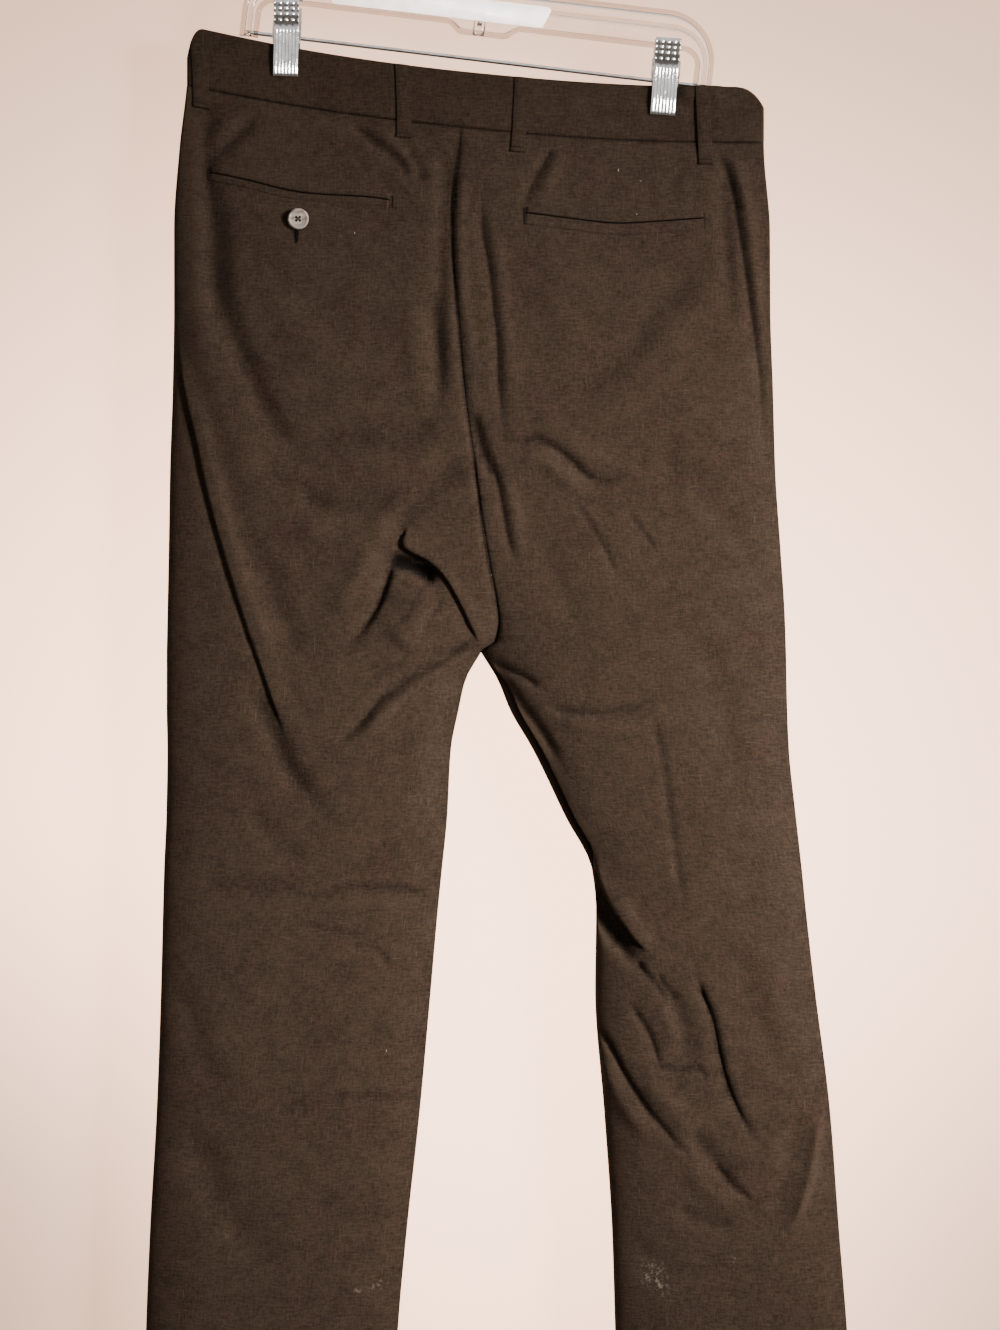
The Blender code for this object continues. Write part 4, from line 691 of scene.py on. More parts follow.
def rim_faces(rows, columns):
    """Quads that close a shell between its outer grid and the inner grid that follows it."""
    index = np.arange(rows * columns).reshape(rows, columns)
    loop = np.concatenate([index[0, :-1], index[:-1, -1], index[-1, :0:-1], index[:0:-1, 0]])
    ahead = np.roll(loop, -1)
    inner = rows * columns
    return np.stack([ahead, loop, loop + inner, ahead + inner], axis=1)


def wall_faces(rows, columns):
    """Faces of a closed wall between an outer grid and an inner grid of the same size."""
    return np.concatenate([grid_faces(rows, columns), grid_faces(rows, columns, rows * columns, True),
                           rim_faces(rows, columns)])


def show(name, data):
    """An object of the scene with this mesh, light or camera."""
    made = bpy.data.objects.new(name, data)
    bpy.context.scene.collection.objects.link(made)
    return made


def new_piece(name, points, faces, material, slot, replaces=(), uv=None, crease=None):
    """A finished piece from points in millimetres. It rides with the part and stands for its nodes."""
    mesh = bpy.data.meshes.new(name)
    corners = (np.asarray(points, dtype=float) * MM).tolist()
    mesh.from_pydata(corners, [], [list(map(int, face)) for face in faces])
    mesh.validate()
    shape = bmesh.new()
    shape.from_mesh(mesh)
    bmesh.ops.recalc_face_normals(shape, faces=shape.faces)
    shape.to_mesh(mesh)
    shape.free()
    if uv is not None:
        index = np.empty(len(mesh.loops), dtype=int)
        mesh.loops.foreach_get("vertex_index", index)
        layer = mesh.uv_layers.new(name="cloth")
        layer.data.foreach_set("uv", (np.asarray(uv)[index] * MM).ravel())
    # The painted shade and painted light that the materials read
    if crease is not None:
        values = mesh.attributes.new("crease", "FLOAT", "POINT").data
        values.foreach_set("value", np.asarray(crease, dtype=float))
    mesh.shade_smooth()
    mesh.materials.append(material)
    piece = show(name, mesh)
    settle(piece, replaces)
    return piece


def settle(piece, replaces=()):
    """Lets a piece ride with the garment, and hides the nodes that it stands for."""
    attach(piece, "root")
    if replaces:
        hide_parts(*replaces)


def shell_faces(rows, columns):
    """Faces of a closed shell: a grid of points, then a grid that keeps every second row and column."""
    outer = np.arange(rows * columns).reshape(rows, columns)
    kept_rows, kept_columns = (rows + 1) // 2, (columns + 1) // 2
    inner = rows * columns + np.arange(kept_rows * kept_columns).reshape(kept_rows, kept_columns)
    faces = (grid_faces(rows, columns).tolist()
             + grid_faces(kept_rows, kept_columns, rows * columns, True).tolist())
    for fine, coarse in ((outer[0], inner[0]), (outer[:, -1], inner[:, -1]),
                         (outer[-1, ::-1], inner[-1, ::-1]), (outer[::-1, 0], inner[::-1, 0])):
        for k in range(len(coarse) - 1):
            a, b, c = fine[2 * k], fine[2 * k + 1], fine[2 * k + 2]
            faces.append([c, b, a, coarse[k], coarse[k + 1]])
    return faces


def skin(x, depth, z, outward):
    """A grid of points on one side of the middle plane."""
    return np.stack([x, outward * depth, z], axis=2)


def shell_piece(name, outer, inner, outward, material, slot, replaces, uv=None, crease=None):
    """A closed thin shell. Both grids are odd in rows and columns, and the inner is thinned to a half."""
    rows, columns = outer.shape[:2]
    points = np.concatenate([outer.reshape(-1, 3), inner[::2, ::2].reshape(-1, 3)])
    uv = np.stack([outer[:, :, 0], outer[:, :, 2]], axis=2) if uv is None else uv
    uv = np.concatenate([uv.reshape(-1, 2), uv[::2, ::2].reshape(-1, 2)])
    crease = np.zeros((rows, columns)) if crease is None else crease
    crease = np.concatenate([crease.ravel(), crease[::2, ::2].ravel()])
    return new_piece(name, points, shell_faces(rows, columns), material, slot, replaces, uv, crease)


def lowest_near(field, reach=2):
    """The smallest value of a grid within a few points of each point."""
    result = field.copy()
    for _ in range(reach):
        padded = np.pad(result, 1, mode="edge")
        result = np.minimum.reduce([padded[1:-1, 1:-1], padded[:-2, 1:-1], padded[2:, 1:-1],
                                    padded[1:-1, :-2], padded[1:-1, 2:]])
    return result


def tree_of(pieces):
    """A search tree over finished pieces, in millimetres."""
    points, faces = [], []
    for piece in pieces:
        first = len(points)
        points += [tuple(c / MM for c in vertex.co) for vertex in piece.data.vertices]
        faces += [[first + i for i in polygon.vertices] for polygon in piece.data.polygons]
    return BVHTree.FromPolygons(points, faces)


def lie_on(tree, face, x, z, spread=0.0):
    """Depth of the cloth at places (x, z), as a distance from the middle plane."""
    outward = outward_of(face)
    x, z = np.broadcast_arrays(np.asarray(x, dtype=float), np.asarray(z, dtype=float))
    around = ((0, 0), (spread, 0), (-spread, 0), (0, spread), (0, -spread)) if spread else ((0, 0),)
    depth = np.zeros(x.shape)
    for index in np.ndindex(x.shape):
        best = 0.0
        for dx, dz in around:
            start = Vector((x[index] + dx, outward * RAY_START, z[index] + dz))
            hit = tree.ray_cast(start, Vector((0, -outward, 0)))[0]
            if hit is not None:
                best = max(best, outward * hit.y)
        depth[index] = best
    return depth


RAY_START = 80.0
TREES = {}


# ---------------------------------------------------------------- shared material effects

def give(tree, socket, value):
    """Links a value to an input, or sets it there."""
    if isinstance(value, bpy.types.NodeSocket):
        tree.links.new(value, socket)
    else:
        socket.default_value = value


def feed(tree, made, **values):
    """Gives a node its inputs by name, with _ for a space."""
    for key, value in values.items():
        give(tree, made.inputs[key.replace("_", " ")], value)


def node(tree, kind, **values):
    """A node with its settings (by name) and its inputs (by index, as i0, i1 and so on)."""
    made = tree.nodes.new(kind)
    for key, value in values.items():
        if key[0] == "i" and key[1:].isdigit():
            give(tree, made.inputs[int(key[1:])], value)
        else:
            setattr(made, key, value)
    return made


def math_node(tree, operation, a, b=0.0):
    return node(tree, "ShaderNodeMath", operation=operation, i0=a, i1=b).outputs[0]


def times(tree, a, b):
    return math_node(tree, "MULTIPLY", a, b)


def plus(tree, a, b):
    return math_node(tree, "ADD", a, b)


def smooth_range(tree, value, low, high, to_low=0.0, to_high=1.0):
    return node(tree, "ShaderNodeMapRange", interpolation_type="SMOOTHSTEP",
                i0=value, i1=low, i2=high, i3=to_low, i4=to_high).outputs[0]


def noise(tree, vector, scale, detail=2.0, roughness=0.5, stretch=None):
    """A noise value. The stretch multiplies the coordinates before the scale does."""
    if stretch is not None:
        vector = node(tree, "ShaderNodeVectorMath", operation="MULTIPLY", i0=vector, i1=stretch).outputs[0]
    made = node(tree, "ShaderNodeTexNoise", i0=vector)
    feed(tree, made, Scale=scale, Detail=detail, Roughness=roughness)
    return made.outputs["Fac"]


def colour_mix(tree, factor, a, b):
    return node(tree, "ShaderNodeMix", data_type="RGBA", i0=factor, i6=a, i7=b).outputs[2]


def new_group(name, inputs, outputs):
    """An empty shader group with named sockets. Each is (name, socket type, default)."""
    group = bpy.data.node_groups.new(name, "ShaderNodeTree")
    for label, kind, default in inputs:
        socket = group.interface.new_socket(label, in_out="INPUT", socket_type=kind)
        if default is not None:
            socket.default_value = default
    for label, kind in outputs:
        group.interface.new_socket(label, in_out="OUTPUT", socket_type=kind)
    start = group.nodes.new("NodeGroupInput")
    end = group.nodes.new("NodeGroupOutput")
    return group, start.outputs, end.inputs


def woven_group():
    """Plain-woven linen: uneven threads, pale slubs, fine heather and soft mottling, made lighter or darker by the
    painted shading it is given.
    """
    group, given, out = new_group(
        "woven linen",
        (("Place", "NodeSocketVector", None), ("Colour", "NodeSocketColor", (0.06, 0.045, 0.03, 1)),
         ("Pale thread", "NodeSocketColor", (0.16, 0.12, 0.08, 1)),
         ("Olive", "NodeSocketColor", (0.05, 0.045, 0.025, 1)),
         ("Threads a metre", "NodeSocketFloat", 1300.0), ("Slubs", "NodeSocketFloat", 0.5),
         ("Mottling", "NodeSocketFloat", 0.5), ("Base light", "NodeSocketFloat", 0.2),
         ("Crease", "NodeSocketFloat", 0.0)),
        (("Colour", "NodeSocketColor"), ("Height", "NodeSocketFloat"), ("Roughness", "NodeSocketFloat")))
    place = given["Place"]
    tree = group
    parts = node(tree, "ShaderNodeSeparateXYZ", i0=place).outputs
    wander_u = noise(tree, place, 1.0, 2.0, 0.5, (420.0, 45.0, 0.0))
    wander_v = noise(tree, place, 1.0, 2.0, 0.5, (45.0, 420.0, 3.0))
    threads = []
    for line, wander in ((parts[0], wander_u), (parts[1], wander_v)):
        turn = times(tree, times(tree, line, given["Threads a metre"]), math.pi)
        turn = plus(tree, turn, times(tree, wander, 3.0))
        threads.append(math_node(tree, "SINE", turn))
    over = times(tree, threads[0], threads[1])
    warp = math_node(tree, "ABSOLUTE", threads[0])
    weft = math_node(tree, "ABSOLUTE", threads[1])
    weave = plus(tree, math_node(tree, "MAXIMUM", warp, weft), times(tree, over, 0.35))
    slub_across = smooth_range(tree, noise(tree, place, 1.0, 1.5, 0.5, (70.0, 900.0, 0.0)), 0.62, 0.8)
    slub_along = smooth_range(tree, noise(tree, place, 1.0, 1.5, 0.5, (900.0, 62.0, 5.0)), 0.63, 0.8)
    slub = times(tree, math_node(tree, "MAXIMUM", slub_across, slub_along), given["Slubs"])
    heather = smooth_range(tree, noise(tree, place, 1.0, 3.0, 0.8, (560.0, 560.0, 9.0)), 0.3, 0.7)
    across = smooth_range(tree, noise(tree, place, 1.0, 2.0, 0.7, (150.0, 620.0, 2.0)), 0.3, 0.7)
    along = smooth_range(tree, noise(tree, place, 1.0, 2.0, 0.7, (620.0, 130.0, 7.0)), 0.3, 0.7)
    patch = smooth_range(tree, noise(tree, place, 62.0, 3.0, 0.6), 0.3, 0.7)
    cloud = smooth_range(tree, noise(tree, place, 17.0, 3.0, 0.6), 0.3, 0.7)
    green = times(tree, noise(tree, place, 75.0, 3.0, 0.7), given["Mottling"])
    green = smooth_range(tree, plus(tree, green, times(tree, cloud, 0.25)), 0.2, 0.6)
    colour = colour_mix(tree, green, given["Colour"], given["Olive"])
    light = given["Base light"]
    for value, amount in ((heather, 0.46), (across, 0.44), (along, 0.34), (patch, 0.24), (cloud, 0.14),
                          (weave, 0.1)):
        light = plus(tree, light, times(tree, value, amount))
    # Painted shade and painted light from the creases, seams and edges
    light = plus(tree, light, times(tree, given["Crease"], 0.5))
    light = math_node(tree, "MAXIMUM", light, 0.12)
    shade = node(tree, "ShaderNodeVectorMath", operation="SCALE", i0=colour)
    feed(tree, shade, Scale=light)
    tree.links.new(colour_mix(tree, slub, shade.outputs[0], given["Pale thread"]), out["Colour"])
    height = plus(tree, times(tree, weave, 0.4), times(tree, slub, 0.5))
    height = plus(tree, height, times(tree, heather, 0.5))
    height = plus(tree, height, times(tree, across, 0.3))
    tree.links.new(height, out["Height"])
    tree.links.new(math_node(tree, "SUBTRACT", 0.97, times(tree, slub, 0.2)), out["Roughness"])
    return group


def stain_group():
    """A faint patch round a place, broken up by noise."""
    group, given, out = new_group(
        "faint patch",
        (("Place", "NodeSocketVector", None), ("Centre", "NodeSocketVector", (0, 0, 0)),
         ("Radius", "NodeSocketFloat", 0.015)),
        (("Mask", "NodeSocketFloat"),))
    away = node(group, "ShaderNodeVectorMath", operation="DISTANCE", i0=given["Place"], i1=given["Centre"])
    share = math_node(group, "DIVIDE", away.outputs["Value"], given["Radius"])
    fall = smooth_range(group, share, 0.2, 1.0, 1.0, 0.0)
    broken = smooth_range(group, noise(group, given["Place"], 260.0, 4.0, 0.7), 0.48, 0.66)
    group.links.new(times(group, fall, broken), out["Mask"])
    return group


def scuff_group():
    """Fine scratches and smudges for metal, plastic and horn."""
    group, given, out = new_group(
        "fine wear",
        (("Place", "NodeSocketVector", None), ("Scale", "NodeSocketFloat", 600.0)),
        (("Scratches", "NodeSocketFloat"), ("Smudges", "NodeSocketFloat")))
    stretched = node(group, "ShaderNodeVectorMath", operation="MULTIPLY", i0=given["Place"], i1=(1.0, 1.0, 0.08))
    scaled = node(group, "ShaderNodeVectorMath", operation="SCALE", i0=stretched.outputs[0])
    group.links.new(given["Scale"], scaled.inputs["Scale"])
    scratches = smooth_range(group, noise(group, scaled.outputs[0], 1.0, 3.0, 0.6), 0.5, 0.72)
    group.links.new(scratches, out["Scratches"])
    group.links.new(noise(group, given["Place"], 90.0, 4.0, 0.6), out["Smudges"])
    return group


def group_node(tree, group, **values):
    """A group placed in a material, with its inputs by name."""
    made = node(tree, "ShaderNodeGroup", node_tree=group)
    feed(tree, made, **values)
    return made.outputs


def blank_material(name):
    material = bpy.data.materials.new(name)
    material.use_nodes = True
    tree = material.node_tree
    return material, tree, tree.nodes["Principled BSDF"]


def bump(tree, shader, height, strength, distance):
    """Raises a shader's surface by a height, over a distance in metres."""
    made = node(tree, "ShaderNodeBump")
    feed(tree, made, Strength=strength, Distance=distance, Height=height)
    feed(tree, shader, Normal=made.outputs["Normal"])


GROUPS = {}
MATERIALS = {}


def shared_group(name, make):
    if name not in GROUPS:
        GROUPS[name] = make()
    return GROUPS[name]


def linen(darker=1.0, stains=False, name="linen"):
    """The trousers' cloth. The woven pattern follows the cloth's own map."""
    if name in MATERIALS:
        return MATERIALS[name]
    cloth = bpy.context.scene.trousers_cloth
    material, tree, shader = blank_material(name)
    place = node(tree, "ShaderNodeUVMap", uv_map="cloth").outputs[0]
    crease = node(tree, "ShaderNodeAttribute", attribute_name="crease").outputs["Fac"]
    # A darker share makes shaded copies of the cloth: painted shade on the band and the loops, the lips a little
    # darker, and near black as a painted shadow in the pocket slits
    shades = [tuple(channel * darker for channel in colour[:3]) + (1.0,)
              for colour in (cloth.colour, cloth.pale_thread, cloth.olive)]
    woven = group_node(tree, shared_group("woven", woven_group), Place=place, Colour=shades[0],
                       Pale_thread=shades[1], Olive=shades[2], Threads_a_metre=cloth.threads,
                       Slubs=cloth.slubs, Mottling=cloth.mottling, Crease=crease)
    colour = woven["Colour"]
    if stains:
        for centre, radius, strength in STAINS:
            patch = group_node(tree, shared_group("stain", stain_group), Place=place,
                               Centre=(centre[0] * MM, centre[1] * MM, 0.0), Radius=radius * MM)
            amount = times(tree, patch["Mask"], strength)
            colour = colour_mix(tree, amount, colour, cloth.stain)
    feed(tree, shader, Base_Color=colour, Roughness=woven["Roughness"], Sheen_Weight=cloth.sheen,
         Sheen_Roughness=0.4, Sheen_Tint=(0.75, 0.62, 0.5, 1.0), Specular_IOR_Level=0.1)
    bump(tree, shader, woven["Height"], 0.5, 0.0004)
    MATERIALS[name] = material
    return material


STAINS = (
    # centre on the cloth's map, radius, strength
    ((52.0, -1040.0), 15.0, 0.5),
    ((-60.0, -1051.5), 5.0, 0.35),
    ((-51.0, -1050.0), 5.0, 0.4),
    ((-42.0, -1048.5), 6.0, 0.4),
    ((-164.0, -1011.0), 9.0, 0.1),
    ((58.0, -1050.0), 8.0, 0.35),
    ((112.0, -1028.0), 4.0, 0.4),
)


def thread_material(name, colour):
    if name in MATERIALS:
        return MATERIALS[name]
    material, tree, shader = blank_material(name)
    place = node(tree, "ShaderNodeTexCoord").outputs["Object"]
    twist = noise(tree, place, 1.0, 2.0, 0.5, (2600.0, 2600.0, 2600.0))
    shade = colour_mix(tree, twist, tuple(0.7 * c for c in colour[:3]) + (1.0,),
                       tuple(min(1.0, 1.35 * c) for c in colour[:3]) + (1.0,))
    feed(tree, shader, Base_Color=shade, Roughness=0.85, Specular_IOR_Level=0.15)
    bump(tree, shader, twist, 0.4, 0.0001)
    MATERIALS[name] = material
    return material


def horn_material():
    """The buttons: grey-brown horn with pale clouds."""
    if "horn" in MATERIALS:
        return MATERIALS["horn"]
    fittings = bpy.context.scene.trousers_fittings
    material, tree, shader = blank_material("horn")
    place = node(tree, "ShaderNodeTexCoord").outputs["Object"]
    clouds = smooth_range(tree, noise(tree, place, 1.0, 4.0, 0.6, (150.0, 150.0, 330.0)), 0.36, 0.66)
    wear = group_node(tree, shared_group("wear", scuff_group), Place=place, Scale=900.0)
    colour = colour_mix(tree, clouds, fittings.button, fittings.button_pale)
    colour = colour_mix(tree, times(tree, wear["Scratches"], 0.25), colour, (0.7, 0.66, 0.6, 1.0))
    feed(tree, shader, Base_Color=colour, Roughness=smooth_range(tree, wear["Smudges"], 0.3, 0.7, 0.28, 0.5))
    bump(tree, shader, wear["Scratches"], 0.15, 0.0001)
    MATERIALS["horn"] = material
    return material


def steel_material():
    """Bright plated steel with fine scratches."""
    if "steel" in MATERIALS:
        return MATERIALS["steel"]
    fittings = bpy.context.scene.trousers_fittings
    material, tree, shader = blank_material("plated steel")
    place = node(tree, "ShaderNodeTexCoord").outputs["Object"]
    wear = group_node(tree, shared_group("wear", scuff_group), Place=place, Scale=1200.0)
    tarnish = smooth_range(tree, wear["Smudges"], 0.35, 0.75)
    feed(tree, shader, Base_Color=colour_mix(tree, tarnish, fittings.steel, (0.6, 0.59, 0.58, 1.0)), Metallic=1.0,
         Roughness=smooth_range(tree, wear["Scratches"], 0.0, 1.0, 0.1, 0.26))
    bump(tree, shader, wear["Scratches"], 0.08, 0.0001)
    MATERIALS["steel"] = material
    return material


def let_through(tree, shader, share_seen_through):
    """Mixes a shader with a clear one by a share."""
    clear = tree.nodes.new("ShaderNodeBsdfTransparent")
    choose = node(tree, "ShaderNodeMixShader", i0=share_seen_through, i1=shader.outputs[0], i2=clear.outputs[0])
    tree.links.new(choose.outputs[0], tree.nodes["Material Output"].inputs["Surface"])


def plastic_material(name="clear plastic", milky=False):
    """Clear moulded plastic, with faint flow marks and smudges, painted darker at its grazing edges and thick rims as
    a painted refraction; the milky kind glows with a painted glare.
    """
    if name in MATERIALS:
        return MATERIALS[name]
    fittings = bpy.context.scene.trousers_fittings
    material, tree, shader = blank_material(name)
    place = node(tree, "ShaderNodeTexCoord").outputs["Object"]
    wear = group_node(tree, shared_group("wear", scuff_group), Place=place, Scale=500.0)
    clear = colour_mix(tree, wear["Smudges"], fittings.plastic, (0.97, 0.965, 0.96, 1.0))
    # Painted refraction: the plastic is tinted darker at grazing edges and on its thick rims
    edge = tree.nodes.new("ShaderNodeLayerWeight").outputs["Facing"]
    thick = times(tree, node(tree, "ShaderNodeAttribute", attribute_name="crease").outputs["Fac"], 0.75)
    edge = math_node(tree, "MAXIMUM", smooth_range(tree, edge, 0.15, 0.8), thick)
    feed(tree, shader, Base_Color=colour_mix(tree, edge, clear, fittings.plastic_painted_edge),
         Roughness=smooth_range(tree, wear["Smudges"], 0.35, 0.75, 0.03, 0.12),
         Transmission_Weight=0.2 if milky else 1.0, IOR=1.49)
    if milky:
        # Painted highlight: the milky plate glows with a painted glare
        glare = smooth_range(tree, wear["Smudges"], 0.35, 0.65, 0.75, 1.0)
        glow = colour_mix(tree, glare, (0.0, 0.0, 0.0, 1.0), (1.0, 0.9, 0.82, 1.0))
        feed(tree, shader, Emission_Color=glow, Emission_Strength=1.9)
    flow = noise(tree, place, 1.0, 2.0, 0.5, (25.0, 25.0, 160.0))
    bump(tree, shader, flow, 0.25, 0.0004)
    shadow = node(tree, "ShaderNodeLightPath").outputs["Is Shadow Ray"]
    let_through(tree, shader, times(tree, shadow, 0.6))
    MATERIALS[name] = material
    return material


# ---------------------------------------------------------------- panels

PANEL_ROWS = {
    # face: (rows from the waist seam to the fork, (leg level, row height down to it), ...)
    "back": (195, (-700.0, 2.05), (-1085.0, 2.6), (-1367.0, 5.6)),
    "front": (97, (-700.0, 4.1), (-1085.0, 4.8), (-1367.0, 8.0)),
}
PANEL_COLUMNS = {"back": 169, "front": 91}
EDGE_CROWDING = 0.4
CLOTH_WALL = 1.1
HEM_WALL = 2.3
HEM_STEP = 5.0


def crowded(count):
    """Shares from 0 to 1 that lie closer together at both ends."""
    even = np.linspace(0.0, 1.0, count)
    return mix(even, (1 - np.cos(even * math.pi)) / 2, EDGE_CROWDING)


def fly_share(z, x):
    """The fly's share of its full lap and lift: one from the waist down, and none at its foot."""
    return 1 - np.clip((waist_height(x) - z - FLY_LENGTH + FLY_CLOSE) / FLY_CLOSE, 0.0, 1.0)


def trunk_edge(face, column, share):
    """A panel's edge (x, z) at a share of the way from the waist seam down to the fork."""
    z = mix(WAIST_HEIGHTS[1], FORK_HEIGHT, share)
    for _ in range(4):
        x = centre_line(face, z) if column == CENTRE else read_table(TRUNK, column, z)
        z = mix(waist_height(x) - HALF_GAP, FORK_HEIGHT, share)
    return float(x), float(z)


def lit_edge(z):
    """From 0 to 1 where one layer of the front shows beside the right back."""
    return smooth((LIT_EDGE_TOP - z) / 30.0) * smooth((z - LIT_EDGE_FOOT) / 25.0)


def panel_grid(face, side):
    """Places (x, z) of a panel's points, and their places on the flat cloth."""
    on_left = side == "left"
    shares = crowded(PANEL_COLUMNS[face])
    trunk_rows, *leg_runs = PANEL_ROWS[face]
    xs, zs, across = [], [], []
    for share in np.linspace(0.0, 1.0, trunk_rows):
        x_out = trunk_edge(face, LEFT_SIDE if on_left else RIGHT_SIDE, share)[0]
        x_in, z_in = trunk_edge(face, CENTRE, share)
        x_in += (-1 if on_left else 1) * HALF_GAP * (BACK_SEAM_OPEN if face == "back" else 1.0)
        if face == "front" and on_left:
            x_in += FLY_LAP * float(smooth(2 * fly_share(z_in, x_in) - 1))
        x = mix(x_out, x_in, shares)
        xs.append(x)
        zs.append(mix(waist_height(x) - HALF_GAP, FORK_HEIGHT, share))
        across.append(x)
    level = FORK_HEIGHT
    middle = (float(read_table(LEGS, LEFT_OUTER if on_left else RIGHT_OUTER, level))
              + float(read_table(LEGS, LEFT_INNER if on_left else RIGHT_INNER, level))) / 2
    for last, step in leg_runs:
        count = 2 * int(round((level - last) / step / 2))
        for z in np.linspace(level, last, count + 1)[1:]:
            x_out = float(read_table(LEGS, LEFT_OUTER if on_left else RIGHT_OUTER, z))
            x_in = float(read_table(LEGS, LEFT_INNER if on_left else RIGHT_INNER, z))
            if face == "back" and not on_left:
                x_in += LIT_EDGE_WIDTH * float(lit_edge(z))
            x = mix(x_out, x_in, shares)
            xs.append(x)
            zs.append(np.full(len(shares), z))
            lean = smooth((FORK_HEIGHT - z) / 300.0)
            across.append(x - ((x_out + x_in) / 2 - middle) * lean)
        level = last
    return np.array(xs), np.array(zs), np.array(across)


def paint_edge_shading(face, side, x, z, tone):
    """Adds to a panel's tone its painted shade and painted light: darker along its edges and seams, lighter or darker
    on its side folds, and lighter where the front's one layer shows.
    """
    from_outer, from_inner = np.abs(x - x[:, :1]), np.abs(x - x[:, -1:])
    tone = tone - line_at(EDGE_PAINTED_SHADE, np.minimum(from_outer, from_inner))
    tone = tone - line_at(SEAM_PAINTED_SHADE, from_inner) * (z > FORK_HEIGHT)
    tone = tone - line_at(WAIST_PAINTED_SHADE, waist_height(x) - z)
    if face == "back":
        tones = (EDGE_RIGHT_PAINTED_SHADE, EDGE_LEFT_PAINTED_LIGHT)
        outer, inner = tones if side == "right" else tones[::-1]
        # Painted light or painted shade along the side folds
        tone = tone + outer * bell(from_outer, EDGE_PAINTED_WIDTH)
        tone = tone + inner * bell(from_inner, EDGE_PAINTED_WIDTH) * (z < FORK_HEIGHT)
    elif side == "right":
        # Painted light along the front's inner edge where one layer shows
        glow = LIT_EDGE_PAINTED_LIGHT * lit_edge(z) * np.exp(-(from_inner / LIT_EDGE_REACH) ** 4)
        tone = tone + glow * (z < FORK_HEIGHT)
    return tone


def make_panel(face, side):
    """A trouser panel with its creases, rumples, hem and, on the left front, the fly's lap."""
    outward = outward_of(face)
    x, z, across = panel_grid(face, side)
    plain = plain_depth(face, x, z)
    if face == "front" and side == "left":
        past = x - centre_line("front", z)
        lap = smooth((past + LAP_BEFORE) / LAP_RAMP) * smooth(2 * fly_share(z, x))
        plain = plain + FLY_LIFT * np.where(z > FORK_HEIGHT, lap, 0.0)
    creases = BACK_CREASES if face == "back" else FRONT_CREASES
    height, shift_x, shift_z, painted_crease_shading = crease_field(creases, x, z)
    height = height + RUMPLE_HEIGHT * rumple(x, z, RUMPLE_SEED + len(face) + len(side))
    inside = smooth(fullness(face, x, z) / FADE_FULLNESS) * smooth((waist_height(x) - z) / SEAM_FADE)
    strength = bpy.context.scene.trousers_cloth.crease_strength
    depth = np.maximum(plain + height * inside * strength, HALF_GAP)
    hem = smooth((HEM_LEVEL + HEM_HEIGHT + HEM_STEP - z) / HEM_STEP)
    outer = skin(x + shift_x * inside, depth, z + shift_z * inside, outward)
    under = np.maximum(lowest_near(depth, 3) - mix(CLOTH_WALL, HEM_WALL, hem), HALF_GAP)
    inner = skin(x, under, z, outward)
    stained = face == "back"
    piece = shell_piece(f"cloth_{face}_{side}", outer, inner, outward,
                        linen(stains=stained, name="linen back" if stained else "linen"), "linen",
                        [f"{face}_panel_{side}"], np.stack([across, z], axis=2),
                        paint_edge_shading(face, side, x, z, painted_crease_shading * inside))
    return piece


# ---------------------------------------------------------------- waistband

BAND_ROWS = 27
BAND_STEP = 2.2
BAND_WALL = 2.4
BAND_TOP_ROLL = (1.5, 1.1)
BAND_SEAM_ROLL = (0.9, 1.0)
# Painted shade (strength, half width) under the band's top roll and along its seam
BAND_TOP_PAINTED_SHADE = (0.3, 1.2)
BAND_SEAM_PAINTED_SHADE = (0.8, 1.2)
PUCKER_HEIGHT = 0.22
PUCKER_SEED = 5
PUCKER_CLEAR = 4.0


def band_top(x):
    """Height of the band's top edge, which is rounded off at both side folds."""
    left, right = WAIST_PLACES[0], WAIST_PLACES[-1]
    share = (2 * x - left - right) / (right - left)
    height = BAND_HEIGHT + BAND_LEFT_RISE * np.maximum(-share, 0.0) ** 1.5
    for side, (start, drop) in zip((-1, 1), BAND_CORNERS):
        height = height - drop * np.clip((side * share - start) / (1 - start), 0.0, 1.0) ** 3
    return waist_height(x) + height


def band_depth(x, share):
    """Half depth of the band from its seam (share 0) to its top (share 1), round the hanger's leg."""
    left, right = WAIST_PLACES[0], WAIST_PLACES[-1]
    leg = HANGER_FOOT[0] + (HANGER_HALF_LENGTH - END_WIDTH / 2) * math.cos(HANGER_TILT)
    round_leg = smooth((STRADDLE_REACH - np.abs(x - leg)) / STRADDLE_RAMP)
    straddle = np.maximum(LEG_STRADDLE - waist_depth(x), 0.0)
    depth = waist_depth(x) + straddle * round_leg * smooth((share - STRADDLE_START) / STRADDLE_RISE)
    return depth * edge_rounding((2 * x - left - right) / (right - left), BAND_ROUNDNESS)


